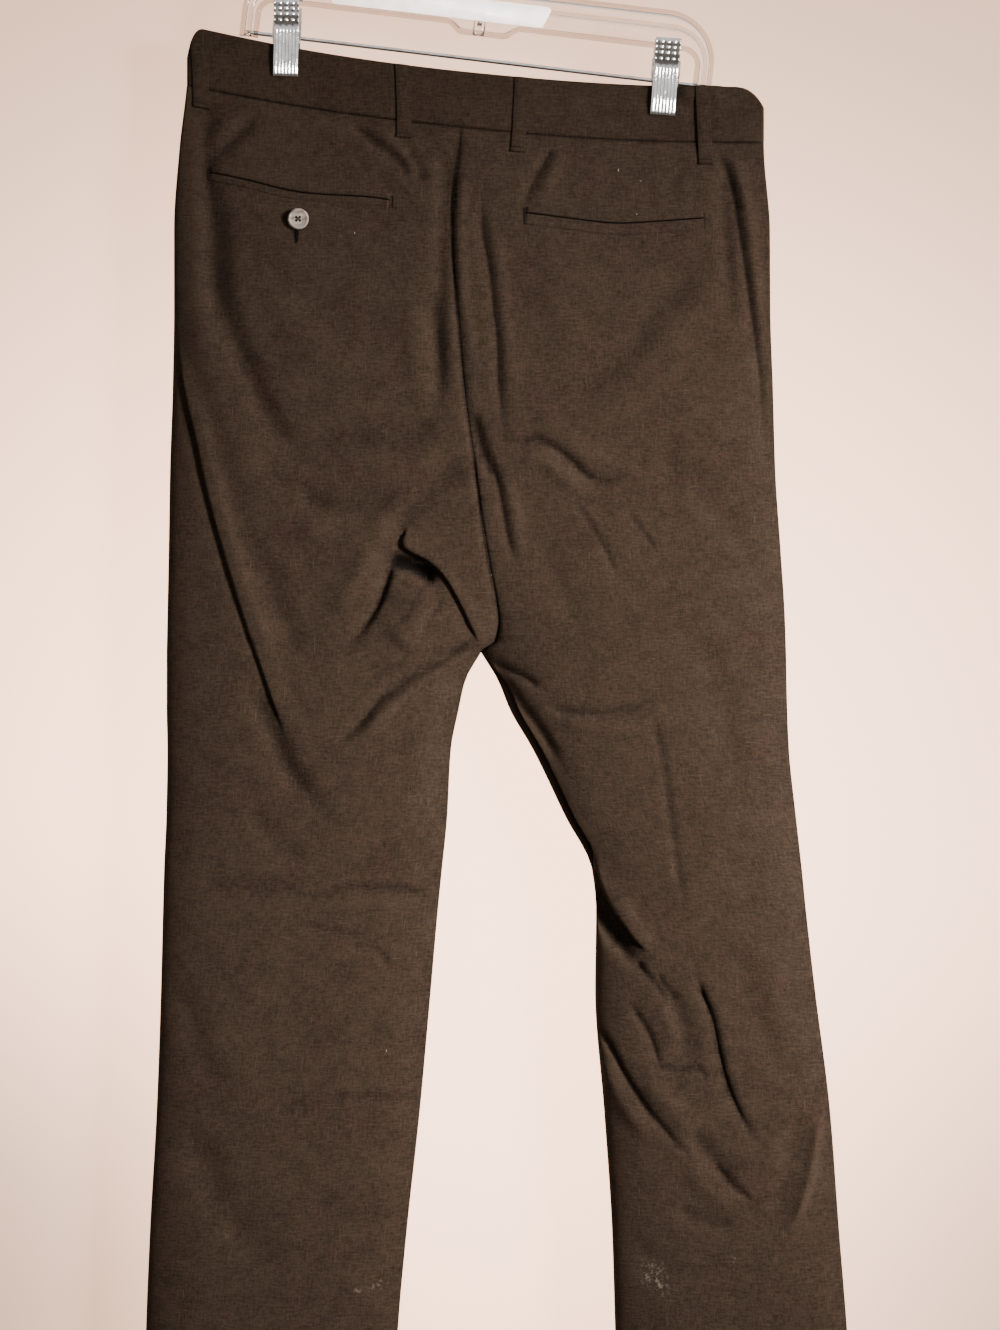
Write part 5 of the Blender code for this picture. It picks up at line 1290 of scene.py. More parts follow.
def make_band(name, face, start, end, lap=False):
    """One length of the waistband, rolled at its top edge and pulled in along its seam."""
    outward = outward_of(face)
    shares = crowded(2 * int((end - start) / BAND_STEP / 2) + 1)
    x, up = np.meshgrid(mix(start, end, shares), 1 - crowded(BAND_ROWS))
    z = mix(waist_height(x) + HALF_GAP, band_top(x), up)
    tab = 0.0
    if lap:
        past = x - centre_line("front", z)
        tab = TAB_LIFT * smooth((past + TAB_FULL_BEFORE + TAB_RAMP) / TAB_RAMP)
    full = band_depth(x, up) + tab
    above = (1 - up) * BAND_HEIGHT
    below = up * BAND_HEIGHT
    roll = line_at(BAND_TOP_ROLL, above) + line_at(BAND_SEAM_ROLL, below)
    clear = smooth(above / PUCKER_CLEAR) * smooth(below / PUCKER_CLEAR)
    puckers = PUCKER_HEIGHT * rumple(x * 1.6, z * 1.3, PUCKER_SEED) * clear
    near_end = edge_rounding(across_waist(x), 7.0)
    depth = np.maximum(full + (puckers - roll) * near_end, HALF_GAP)
    outer = np.stack([x, outward * depth, z], axis=2)
    under = np.maximum(lowest_near(depth, 2) - BAND_WALL, HALF_GAP)
    inner = np.stack([x, outward * under, z], axis=2)
    # Painted shade along the band's seam and top roll
    crease = -line_at(BAND_SEAM_PAINTED_SHADE, below) - line_at(BAND_TOP_PAINTED_SHADE, above)
    # The band's linen is a darker copy, as painted shade
    piece = shell_piece(name, outer, inner, outward, linen(0.9, name="linen band"), "linen",
                        [name.replace("band_", "waistband_", 1)], np.stack([x, z], axis=2), crease)
    return piece


# ---------------------------------------------------------------- strips that lie on the cloth

def puffed_strip(name, face, x, z, wall, lift, material, replaces, sink_ends=False, round_edge=0.55):
    """A strip on the cloth whose long edges are rounded. Rows run along it, and columns across it."""
    last = len(x) - 1 + len(x) % 2
    x, z = x[:last], z[:last]
    outward = outward_of(face)
    tree = TREES[face]
    rest = lie_on(tree, face, x, z, 0.8)
    rows, columns = x.shape
    side = np.abs(np.linspace(-1, 1, columns))[None, :]
    crown = wall * (1 - round_edge * side ** 6)
    if sink_ends:
        ends = np.minimum(np.arange(rows), np.arange(rows)[::-1])[:, None] / 1.5
        crown = crown * mix(0.35, 1.0, smooth(ends))
    low = rest + lift
    inner = np.stack([x, outward * low, z], axis=2)
    outer = np.stack([x, outward * (low + crown), z], axis=2)
    return shell_piece(name, outer, inner, outward, material, "linen", replaces)


def side_steps(points, offsets):
    """Points (x, z) beside a run of points, at each offset to its left."""
    along = np.gradient(points, axis=0)
    along /= np.linalg.norm(along, axis=1, keepdims=True)
    left = np.stack([-along[:, 1], along[:, 0]], axis=1)
    return points[:, None, :] + left[:, None, :] * np.asarray(offsets)[None, :, None]


def make_loop(name, face, place, below, lean, width):
    """A belt loop: a folded strip from over the band's top edge to its bar tack below the seam."""
    rows, columns = LOOP_GRID
    share = np.linspace(0.0, 1.0, rows)[:, None]
    side = np.linspace(-1.0, 1.0, columns)[None, :]
    middle = place + lean * share
    x = middle + side * width / 2 * (1 - 0.05 * np.sin(math.pi * share))
    z = mix(band_top(x) - 0.3, waist_height(x) - below, share)
    outward = outward_of(face)
    rest = lie_on(TREES[face], face, x, z, 1.2)
    run = np.maximum.accumulate(rest, axis=0)
    rest = mix(rest, run, 0.35 * np.sin(math.pi * share))
    gap = 0.12 + LOOP_LIFT * np.sin(math.pi * share) ** 0.7
    from_foot = (1 - share) * LOOP_LONG
    fold = line_at(LOOP_TACK, from_foot)
    grooves = line_at(LOOP_GROOVE, np.abs(side) - LOOP_GROOVE_AT)
    crown = LOOP_WALL * (1 - 0.75 * np.abs(side) ** 4) - grooves + fold
    inner = np.stack([x, outward * (rest + gap), z], axis=2)
    outer = np.stack([x, outward * (rest + gap + crown), z], axis=2)
    # Painted shade along the loop's edges and at its bar tack
    crease = -line_at(LOOP_EDGE_PAINTED_SHADE, np.abs(side) - 1.0) - line_at(LOOP_TACK_PAINTED_SHADE, from_foot)
    crease = np.broadcast_to(crease, x.shape)
    # The loops' linen is a darker copy, as painted shade
    shell_piece(name.replace("belt_", ""), outer, inner, outward, linen(0.93, name="linen loops"), "linen",
                [name], None, crease)
    return outer


# ---------------------------------------------------------------- stitches

def stitch_tree():
    """Geometry Nodes: short stitches at even steps along a path, turned to follow it."""
    tree = bpy.data.node_groups.new("stitches along a path", "GeometryNodeTree")
    sockets = tree.interface
    sockets.new_socket("Geometry", in_out="INPUT", socket_type="NodeSocketGeometry")
    for label, default in (("Pitch", 0.003), ("Length", 0.0022), ("Thickness", 0.0005), ("Turn", 0.0)):
        sockets.new_socket(label, in_out="INPUT", socket_type="NodeSocketFloat").default_value = default
    sockets.new_socket("Thread", in_out="INPUT", socket_type="NodeSocketMaterial")
    sockets.new_socket("Geometry", in_out="OUTPUT", socket_type="NodeSocketGeometry")
    start = tree.nodes.new("NodeGroupInput").outputs
    end = tree.nodes.new("NodeGroupOutput").inputs
    link = tree.links.new
    path = tree.nodes.new("GeometryNodeMeshToCurve")
    link(start["Geometry"], path.inputs[0])
    spaced = tree.nodes.new("GeometryNodeResampleCurve")
    spaced.mode = "LENGTH"
    link(path.outputs[0], spaced.inputs["Curve"])
    link(start["Pitch"], spaced.inputs["Length"])
    line = tree.nodes.new("GeometryNodeInputTangent")
    aim = tree.nodes.new("FunctionNodeAlignEulerToVector")
    aim.axis = "X"
    aim.pivot_axis = "Y"
    link(line.outputs[0], aim.inputs["Vector"])
    turn = tree.nodes.new("FunctionNodeRotateEuler")
    turn.rotation_type = "AXIS_ANGLE"
    turn.space = "LOCAL"
    turn.inputs["Axis"].default_value = (0.0, 1.0, 0.0)
    link(aim.outputs[0], turn.inputs["Rotation"])
    link(start["Turn"], turn.inputs["Angle"])
    ball = tree.nodes.new("GeometryNodeMeshUVSphere")
    ball.inputs["Segments"].default_value = 6
    ball.inputs["Rings"].default_value = 5
    ball.inputs["Radius"].default_value = 0.5
    size = tree.nodes.new("ShaderNodeCombineXYZ")
    link(start["Length"], size.inputs[0])
    link(start["Thickness"], size.inputs[1])
    link(start["Thickness"], size.inputs[2])
    place = tree.nodes.new("GeometryNodeInstanceOnPoints")
    link(spaced.outputs[0], place.inputs["Points"])
    link(ball.outputs["Mesh"], place.inputs["Instance"])
    link(turn.outputs[0], place.inputs["Rotation"])
    link(size.outputs[0], place.inputs["Scale"])
    real = tree.nodes.new("GeometryNodeRealizeInstances")
    link(place.outputs[0], real.inputs[0])
    coat = tree.nodes.new("GeometryNodeSetMaterial")
    link(real.outputs[0], coat.inputs["Geometry"])
    link(start["Thread"], coat.inputs["Material"])
    link(coat.outputs[0], end[0])
    return tree


STITCH_PATHS = {}


def add_path(kind, points):
    """Keeps a path (points in millimetres) for a kind of stitch until all are sewn."""
    STITCH_PATHS.setdefault(kind, []).append(np.asarray(points, dtype=float))


def add_surface_path(kind, face, points, lift=0.1):
    """A stitch path over the cloth through places (x, z)."""
    points = np.asarray(points, dtype=float)
    depth = lie_on(TREES[face], face, points[:, 0], points[:, 1]) + lift
    add_path(kind, np.stack([points[:, 0], outward_of(face) * depth, points[:, 1]], axis=1))


def sew(name, kind, pitch, length, thickness, turn, material):
    """Turns the kept paths of one kind into a mesh of stitches."""
    points, edges = [], []
    for path in STITCH_PATHS.get(kind, []):
        first = len(points)
        points += (path * MM).tolist()
        edges += [(first + i, first + i + 1) for i in range(len(path) - 1)]
    mesh = bpy.data.meshes.new(name + " path")
    mesh.from_pydata(points, edges, [])
    path = bpy.data.objects.new(name + " path", mesh)
    bpy.context.scene.collection.objects.link(path)
    if "stitches" not in GROUPS:
        GROUPS["stitches"] = stitch_tree()
    tree = GROUPS["stitches"]
    change = path.modifiers.new("stitches", "NODES")
    change.node_group = tree
    values = {"Pitch": pitch * MM, "Length": length * MM, "Thickness": thickness * MM, "Turn": turn,
              "Thread": material}
    for item in tree.interface.items_tree:
        if item.in_out == "INPUT" and item.name in values:
            change[item.identifier] = values[item.name]
    evaluated = path.evaluated_get(bpy.context.evaluated_depsgraph_get())
    baked = bpy.data.meshes.new_from_object(evaluated)
    baked.name = name
    baked.shade_smooth()
    piece = bpy.data.objects.new(name, baked)
    bpy.context.scene.collection.objects.link(piece)
    bpy.data.objects.remove(path, do_unlink=True)
    settle(piece)
    return piece


# ---------------------------------------------------------------- hanger helpers

def hanger_place():
    """From the hanger's own frame (along it, depth, up) to the world, in millimetres."""
    foot = Vector((HANGER_FOOT[0], 0.0, HANGER_FOOT[1]))
    return Matrix.Translation(foot) @ Matrix.Rotation(HANGER_TILT, 4, "Y")


def arc(centre, radius, start, end, steps=10):
    turns = np.radians(np.linspace(start, end, steps + 1))
    return [(centre[0] + radius * math.cos(t), centre[1] + radius * math.sin(t)) for t in turns]


def swept_tube(path, radius, sides, flat=1.0):
    """Points and faces of a tube along a path. Flat squeezes it in depth (Y)."""
    path = np.asarray(path, dtype=float)
    along = np.gradient(path, axis=0)
    along /= np.linalg.norm(along, axis=1, keepdims=True)
    side = np.cross(along, np.array([0.0, 1.0, 0.0]))
    side /= np.linalg.norm(side, axis=1, keepdims=True)
    lift = np.cross(side, along)
    turns = 2 * math.pi * np.arange(sides) / sides
    ring = (side[:, None, :] * np.cos(turns)[None, :, None] * radius
            + lift[:, None, :] * np.sin(turns)[None, :, None] * radius * flat)
    points = (path[:, None, :] + ring).reshape(-1, 3)
    faces = []
    for first in range(0, (len(path) - 1) * sides, sides):
        for k in range(sides):
            n = (k + 1) % sides
            faces.append((first + k, first + n, first + sides + n, first + sides + k))
    faces.append(tuple(range(sides)))
    faces.append(tuple(range(len(points) - sides, len(points))))
    return points, faces


def spun(profile, steps):
    """Points and faces turned about Y from a profile of (radius, depth)."""
    points, faces, rings = [], [], []
    for radius, depth in profile:
        if radius == 0.0:
            rings.append([len(points)])
            points.append((0.0, depth, 0.0))
            continue
        rings.append(list(range(len(points), len(points) + steps)))
        for k in range(steps):
            turn = 2 * math.pi * k / steps
            points.append((radius * math.cos(turn), depth, radius * math.sin(turn)))
    for lower, upper in zip(rings, rings[1:]):
        for k in range(steps):
            n = (k + 1) % steps
            if len(lower) == 1:
                faces.append((lower[0], upper[k], upper[n]))
            elif len(upper) == 1:
                faces.append((lower[k], lower[n], upper[0]))
            else:
                faces.append((lower[k], lower[n], upper[n], upper[k]))
    return np.array(points), faces


def joined(parts):
    """Several (points, faces) made one."""
    points, faces = [], []
    for part_points, part_faces in parts:
        first = len(points)
        points += [tuple(p) for p in part_points]
        faces += [tuple(first + i for i in face) for face in part_faces]
    return np.array(points), faces


def placed(points, place):
    return np.array([place @ Vector(p) for p in points])


def beam_underside(along):
    """Height of the beam's lower edge, which dips in the middle."""
    half_dip, middle = (DIP_RIGHT - DIP_LEFT) / 2, (DIP_RIGHT + DIP_LEFT) / 2
    return BEAM_FOOT - BEAM_DIP * smooth((half_dip - abs(along - middle)) / CORNER_CUT)


def arch_edges():
    """Pairs of points (along, up) on the arch's outer and inner edges, from left foot to right foot."""
    half, inside = HANGER_HALF_LENGTH, HANGER_HALF_LENGTH - END_WIDTH
    shoulder, high = half - SHOULDER_RADIUS, HANGER_HEIGHT - SHOULDER_RADIUS
    corner = inside - CORNER_CUT
    left = []
    for t in np.linspace(0.0, 1.0, 9)[:-1]:
        left.append(((-half, mix(LEG_FOOT, high, t)), (-inside, mix(LEG_FOOT, BEAM_FOOT - CORNER_CUT, t))))
    for turn in np.radians(np.linspace(180.0, 90.0, 17)):
        c, s = math.cos(turn), math.sin(turn)
        left.append(((-shoulder + SHOULDER_RADIUS * c, high + SHOULDER_RADIUS * s),
                     (-corner + CORNER_CUT * c, BEAM_FOOT - CORNER_CUT + CORNER_CUT * s)))
    beam = [((mix(-shoulder, shoulder, t), HANGER_HEIGHT),
             (mix(-corner, corner, t), float(beam_underside(mix(-corner, corner, t)))))
            for t in np.linspace(0.0, 1.0, 90)[1:-1]]
    right = [((-a, b), (-c, d)) for (a, b), (c, d) in reversed(left)]
    return np.array(left + beam + right)


# The arch's section: how far across, in millimetres from the rim's or the rib's edge, and half thickness
RIM_SECTION = ((0.0, 1.2), (0.5, 2.1), (1.3, 2.5), (2.3, 2.5), (3.0, 2.1), (3.5, 1.0))
RIB_SECTION = ((0.0, 0.9), (0.5, 1.7), (1.5, 1.9), (2.4, 1.7), (3.0, 0.9))
RIB_SHARE = 0.36
ARCH_SECTION = ([(0.0, offset, half) for offset, half in RIM_SECTION]
                + [(RIB_SHARE, offset, half) for offset, half in RIB_SECTION]
                + [(1.0, -offset, half) for offset, half in reversed(RIM_SECTION)])


def arch_shell():
    """Points and faces of the arch: thick rims and a rib with thin webs between, in one piece."""
    edges = arch_edges()
    outer, inner = edges[:, 0], edges[:, 1]
    width = np.linalg.norm(inner - outer, axis=1, keepdims=True)
    across = (inner - outer) / width
    columns = [(outer + across * (width * share_across + offset), half)
               for share_across, offset, half in ARCH_SECTION]
    sides = [np.stack([np.column_stack([at[:, 0], np.full(len(at), sign * half), at[:, 1]])
                       for at, half in columns], axis=1) for sign in (-1, 1)]
    rows, count = sides[0].shape[:2]
    faces = wall_faces(rows, count)
    # How thick each column is, which the plastic paints as darker rims, a painted refraction
    thick = np.clip((np.array([half for _, half in columns]) - 1.0) / 1.3, 0.0, 1.0)
    tint = np.tile(thick, 2 * rows)
    return np.concatenate([side.reshape(-1, 3) for side in sides]), faces.tolist(), tint


def flat_plate(outline, half_thick):
    """Points and faces of a plate cut to a closed outline (along, up)."""
    count = len(outline)
    points = [(a, -half_thick, b) for a, b in outline] + [(a, half_thick, b) for a, b in outline]
    faces = [tuple(range(count)), tuple(range(2 * count - 1, count - 1, -1))]
    faces += [(k, (k + 1) % count, count + (k + 1) % count, count + k) for k in range(count)]
    return np.array(points), faces


# ---------------------------------------------------------------- settings

def length(name, description, default):
    return FloatProperty(name=name, description=description, default=default, unit="LENGTH", min=0.0,
                         precision=5)


def share(name, description, default, most=1.0):
    return FloatProperty(name=name, description=description, default=default, min=0.0, max=most)


def colour(name, description, default):
    return FloatVectorProperty(name=name, description=description, default=(*default, 1.0), size=4,
                               subtype="COLOR", min=0.0, max=1.0)


class ClothSettings(bpy.types.PropertyGroup):
    """The linen and its creases"""
    colour: colour("Linen", "The linen's main brown", (0.0340, 0.0189, 0.0138))
    olive: colour("Olive", "The greener brown of its mottling", (0.0293, 0.0192, 0.0128))
    pale_thread: colour("Pale thread", "Its pale slubs", (0.09, 0.06, 0.043))
    stain: colour("Pale patch", "The pale marks near the hems", (0.24, 0.2, 0.16))
    threads: FloatProperty(name="Threads a metre", description="How close the threads lie", default=1250.0)
    slubs: share("Slubs", "How strongly the slubs show", 0.35)
    mottling: share("Mottling", "How strongly the brown turns olive", 0.9)
    sheen: share("Sheen", "Soft light that grazes the nap", 0.03)
    crease_strength: share("Creases", "How deep the creases are, against those seen", 0.85, 2.0)


class StitchSettings(bpy.types.PropertyGroup):
    """The sewing thread"""
    colour: colour("Thread", "The sewing thread", (0.016, 0.011, 0.008))
    pitch: length("Pitch", "From one stitch to the next", 0.003)
    length: length("Length", "Length of one stitch", 0.0023)
    thickness: length("Thickness", "Thickness of the thread", 0.0005)


class FittingSettings(bpy.types.PropertyGroup):
    """Buttons, steel and plastic"""
    button: colour("Button", "The buttons' darker horn", (0.13, 0.1, 0.08))
    button_pale: colour("Button, pale", "The buttons' paler clouds", (0.36, 0.3, 0.26))
    steel: colour("Steel", "The plated steel", (0.86, 0.86, 0.87))
    plastic: colour("Plastic", "The clear plastic", (0.94, 0.935, 0.93))
    # The colour of the plastic's painted darker rims and edges
    plastic_painted_edge: colour("Plastic, edge", "What the plastic's thick edges look like", (0.5, 0.42, 0.36))
    rod_radius: length("Rod radius", "Radius of the rod that the clips slide on", 0.0015)


class StageSettings(bpy.types.PropertyGroup):
    """Wall, floor and lights"""
    wall: colour("Wall", "The pale wall behind", (0.9, 0.7, 0.58))
    floor: colour("Floor", "The floor", (0.3, 0.26, 0.22))
    key_watts: FloatProperty(name="Key light", description="The soft light at the right", default=14.6)
    fill_watts: FloatProperty(name="Fill light", description="The weak light at the left", default=3.0)
    far_watts: FloatProperty(name="Far light", description="The light on the far side", default=70.0)
    sky: share("Ambient", "Light from all round", 0.135, 3.0)
    mirrored: share("Mirrored room", "How much brighter the room is in what mirrors it", 3.0, 9.0)
    wall_seen: colour("Wall as seen", "The lit wall's colour to the eye", (1.0, 0.6, 0.4))
    wall_bright: share("Wall brightness", "How bright the wall looks, over how far it lights the cloth", 5.2, 10.0)
    wall_glow: share("Wall glow", "How far the lit room brightens the wall", 1.0, 3.0)
    wall_lit: share("Wall paint", "How far the lamps light the wall", 0.25)
    wall_gap: length("Wall gap", "From the middle of the trousers to the wall", 0.04)


# ---------------------------------------------------------------- operators

class TROUSERS_OT_panels(bpy.types.Operator):
    """Make the four trouser panels"""
    bl_idname = "trousers.panels"
    bl_label = "Panels"

    def execute(self, context):
        for face in ("back", "front"):
            TREES[face] = [make_panel(face, side) for side in ("left", "right")]
        return {"FINISHED"}


class TROUSERS_OT_waistband(bpy.types.Operator):
    """Make the waistband's three lengths"""
    bl_idname = "trousers.waistband"
    bl_label = "Waistband"

    def execute(self, context):
        left, right = WAIST_PLACES[0], WAIST_PLACES[-1]
        centre = float(centre_line("front", -170.0))
        bands = {
            "back": [make_band("band_back", "back", left, right)],
            "front": [make_band("band_front_left", "front", left, centre + TAB_LAP, lap=True),
                      make_band("band_front_right", "front", centre - UNDERLAP, right)],
        }
        for face in ("back", "front"):
            TREES[face] = tree_of(TREES[face] + bands[face])
        return {"FINISHED"}


class TROUSERS_OT_belt_loops(bpy.types.Operator):
    """Make the belt loops"""
    bl_idname = "trousers.belt_loops"
    bl_label = "Belt loops"

    def execute(self, context):
        for name, face, place, below, lean, width in BELT_LOOPS:
            outer = make_loop(name, face, place, below, lean, width)
            off = np.array([0.0, outward_of(face) * 0.1, 0.0])
            for column in (1, -2):
                add_path("fine", outer[1:-3, column] + off)
            foot = outer[-4]
            add_path("tack", foot[1:-1] + off)
        return {"FINISHED"}


class TROUSERS_OT_back_pockets(bpy.types.Operator):
    """Make the slit back pockets with their lips, tacks and buttonhole"""
    bl_idname = "trousers.back_pockets"
    bl_label = "Back pockets"

    def execute(self, context):
        # Near black cloth laid in the slits as a painted shadow
        dark = linen(0.05, name="linen in the slit")
        for name, places, upper, lower, lower_wall, sewn in POCKETS:
            run = smooth_run(places, 2.2)
            cloth = linen(0.97, name="linen lips")
            for part, first, last, wall in (("upper", 0.6, upper, LIP_WALL), ("lower", -lower, -0.6, lower_wall)):
                grid = side_steps(run, np.linspace(first, last, 9))
                puffed_strip(f"{name}_{part}", "back", grid[:, :, 0], grid[:, :, 1], wall, 0.12, cloth,
                             [f"{name}_{part}_lip"], sink_ends=True)
            # A painted shadow along the pocket's slit
            grid = side_steps(run, np.linspace(-1.2, 1.2, 5))
            puffed_strip(f"{name}_slit", "back", grid[:, :, 0], grid[:, :, 1], 0.15, 0.05, dark, [])
            for end, offset in ((run[0], -0.6), (run[-1], 0.6)):
                x = np.full(12, end[0] + offset)
                z = np.linspace(end[1] + 0.7 * upper, end[1] - 0.9 * lower, 12)
                add_surface_path("tack", "back", np.stack([x, z], axis=1), 0.5)
            if sewn:
                below = side_steps(run, [-lower - 0.5])[:, 0]
                add_surface_path("fine", "back", below[4:-4], 0.05)
        x, z = BACK_BUTTON_PLACE
        turns = np.linspace(0.0, 2 * math.pi, 25)
        hole = np.stack([x - 1.5 + 1.9 * np.cos(turns), z - 8.0 + 10.5 * np.sin(turns)], axis=1)
        add_surface_path("buttonhole", "back", hole, 0.15)
        grid_x, grid_z = np.meshgrid(np.linspace(-1.3, 1.3, 3) + x - 1.5, np.linspace(-17.5, 2.0, 12) + z)
        # A painted shadow in the buttonhole
        puffed_strip("buttonhole_slit", "back", grid_x, grid_z, 0.15, 0.05, dark, [])
        return {"FINISHED"}


class TROUSERS_OT_front_pockets(bpy.types.Operator):
    """Make the turned edges of the slanted front pockets"""
    bl_idname = "trousers.front_pockets"
    bl_label = "Front pocket edges"

    def execute(self, context):
        for name, top, foot in FRONT_POCKETS:
            down = np.linspace(0.0, 1.0, 50)[:, None]
            toward_middle = -np.sign(top[0])
            x = mix(top[0], foot[0], down) + toward_middle * np.linspace(0.0, POCKET_EDGE_WIDTH, 9)[None, :]
            z = waist_height(x) - mix(top[1], foot[1], down)
            puffed_strip(name.replace("_edge", ""), "front", x, z, 0.9, 0.12,
                         linen(0.97, name="linen lips"), [name])
            line = np.stack([x[:, 7], z[:, 7]], axis=1)
            add_surface_path("fine", "front", line, 1.1)
        return {"FINISHED"}


def stood_on(points, outward, x, depth, z):
    """Points about a Y axis, faced outward and moved to a place on the cloth."""
    return points * np.array([1.0, outward, 1.0]) + np.array([x, outward * depth, z])


class TROUSERS_OT_buttons(bpy.types.Operator):
    """Make the pocket button and the waist button with their thread"""
    bl_idname = "trousers.buttons"
    bl_label = "Buttons"

    def execute(self, context):
        rim = BUTTON_RADIUS - BUTTON_RIM
        thick = BUTTON_THICK
        profile = [(0.0, 0.0), (BUTTON_RADIUS - 1.6, 0.0), (BUTTON_RADIUS - 0.5, 0.35), (BUTTON_RADIUS, 1.1),
                   (BUTTON_RADIUS - 0.15, 1.9), (BUTTON_RADIUS - 0.8, thick - 0.1), (BUTTON_RADIUS - 1.3, thick),
                   (rim + 0.3, thick - 0.1), (rim - 0.4, thick - 0.6), (rim - 1.0, thick - BUTTON_DISH),
                   (0.0, thick - BUTTON_DISH)]
        thread = thread_material("button thread", (0.03, 0.022, 0.016))
        # Dark discs in the button's holes, as painted shadow
        hole_shadow = thread_material("button holes", (0.01, 0.008, 0.006))
        for name, face, (x, z) in (("back_pocket_button", "back", BACK_BUTTON_PLACE),
                                   ("waist_button", "front", WAIST_BUTTON_PLACE)):
            outward = outward_of(face)
            rest = float(lie_on(TREES[face], face, x, z, BUTTON_RADIUS * 0.75)) + BUTTON_STAND
            points, faces = spun(profile, 48)
            points = stood_on(points, outward, x, rest, z)
            new_piece(name.replace("_button", "_horn_button"), points, faces, horn_material(), "button", [name])
            top = rest + thick - BUTTON_DISH
            holes, strands = [], []
            corners = []
            for k in range(4):
                turn = math.radians(45 + 90 * k)
                corners.append((x + BUTTON_HOLE_REACH * math.cos(turn), z + BUTTON_HOLE_REACH * math.sin(turn)))
                disc, disc_faces = spun([(0.0, -0.2), (BUTTON_HOLE, -0.2), (BUTTON_HOLE, 0.04), (0.0, 0.04)], 16)
                holes.append((disc * np.array([1.0, outward, 1.0])
                              + np.array([corners[-1][0], outward * top, corners[-1][1]]), disc_faces))
            for a, b in ((0, 2), (1, 3)):
                t = np.linspace(0.0, 1.0, 9)
                lift = top + 0.1 + 0.55 * np.sin(math.pi * t)
                path = np.stack([mix(corners[a][0], corners[b][0], t), outward * lift,
                                 mix(corners[a][1], corners[b][1], t)], axis=1)
                strands.append(swept_tube(path, 0.24, 8))
            shank, shank_faces = spun([(0.0, 0.0), (1.3, 0.0), (1.1, BUTTON_STAND), (0.0, BUTTON_STAND)], 12)
            strands.append((stood_on(shank, outward, x, rest - BUTTON_STAND, z), shank_faces))
            new_piece(name + "_holes", *joined(holes), hole_shadow, "button")
            new_piece(name + "_thread", *joined(strands), thread, "linen")
        return {"FINISHED"}


class TROUSERS_OT_stitching(bpy.types.Operator):
    """Sew the seams, tacks and buttonhole"""
    bl_idname = "trousers.stitching"
    bl_label = "Stitching"

    def execute(self, context):
        settings = context.scene.trousers_stitch
        left, right = WAIST_PLACES[0] + 3, WAIST_PLACES[-1] - 3
        centre = float(centre_line("front", -170.0))
        for face, first, last, count in (("back", left, right, 160), ("front", left, centre + FLY_LAP - 2, 90),
                                         ("front", centre + FLY_LAP + 2, right, 80)):
            x = np.linspace(first, last, count)
            add_surface_path("ditch", face, np.stack([x, waist_height(x) - 0.4], axis=1), 0.05)
        drop = np.linspace(4.0, FLY_LENGTH - 30.0, 50)
        z = waist_height(centre) - drop
        fly_x = centre_line("front", z) - 28.0
        turn = np.linspace(0.0, math.pi / 2, 14)[1:]
        foot = np.stack([fly_x[-1] + 28.0 * (1 - np.cos(turn)), z[-1] - 30.0 * np.sin(turn)], axis=1)
        add_surface_path("fine", "front", np.vstack([np.stack([fly_x, z], axis=1), foot]), 0.1)
        thread = thread_material("sewing thread", settings.colour)
        pitch, long, thick = settings.pitch / MM, settings.length / MM, settings.thickness / MM
        for name, kind, scale in (("seam_stitches", "ditch", 1.0), ("edge_stitches", "fine", 0.85)):
            sew(name, kind, pitch * scale, long * scale, thick * scale, 0.0, thread)
        sew("bar_tacks", "tack", 0.55, 1.7, 0.5, math.pi / 2, thread)
        sew("buttonhole_stitches", "buttonhole", 0.5, 1.5, 0.45, math.pi / 2, thread)
        return {"FINISHED"}


class TROUSERS_OT_lint(bpy.types.Operator):
    """Scatter the few specks of lint that show on the back"""
    bl_idname = "trousers.lint"
    bl_label = "Lint"

    def execute(self, context):
        specks = ((-99, -265.5), (97.5, -217), (114, -225), (111, -250.5), (129, -252), (58.5, -259.5),
                  (-75.5, -873.5))
        random = np.random.RandomState(3)
        parts = []
        for x, z in specks:
            depth = float(lie_on(TREES["back"], "back", x, z, 0.5))
            turn = random.uniform(0, math.pi)
            long = random.uniform(0.35, 0.8)
            t = np.linspace(-1.0, 1.0, 5)
            path = np.stack([x + long * t * math.cos(turn), -depth - 0.15 - 0.2 * (1 - t * t),
                             z + long * t * math.sin(turn) + 0.2 * t * t], axis=1)
            parts.append(swept_tube(path, random.uniform(0.16, 0.26), 6))
        new_piece("lint", *joined(parts), thread_material("lint", (0.36, 0.33, 0.27)), "linen")
        return {"FINISHED"}


class TROUSERS_OT_hanger_frame(bpy.types.Operator):
    """Make the clear arch with its web, rim and boss"""
    bl_idname = "trousers.hanger_frame"
    bl_label = "Hanger frame"

    def execute(self, context):
        place = hanger_place()
        points, faces, tint = arch_shell()
        new_piece("hanger_arch", placed(points, place), faces, plastic_material(), "clear_plastic",
                  ["hanger_frame"], crease=tint)
        boss_path = [(0.0, 0.0, up) for up in np.linspace(BEAM_FOOT - BEAM_DIP + 0.8, HANGER_HEIGHT - 0.8, 8)]
        points, faces = swept_tube(boss_path, 4.4, 20, flat=0.5)
        new_piece("hanger_boss", placed(points, place), faces, plastic_material(), "clear_plastic")
        left, right, foot, top = WEB_PLATE
        plate = (arc((right - 3.0, top - 3.0), 3.0, 0, 90, 4) + arc((left + 3.0, top - 3.0), 3.0, 90, 180, 4)
                 + arc((left + 3.0, foot + 3.0), 3.0, 180, 270, 4) + arc((right - 7.0, foot + 3.0), 3.0, 270, 360, 4))
        points, faces = flat_plate(plate, 0.5)
        points[:, 1] -= 1.6
        new_piece("hanger_web_plate", placed(points, place), faces, plastic_material("milky plastic", True),
                  "clear_plastic")
        return {"FINISHED"}


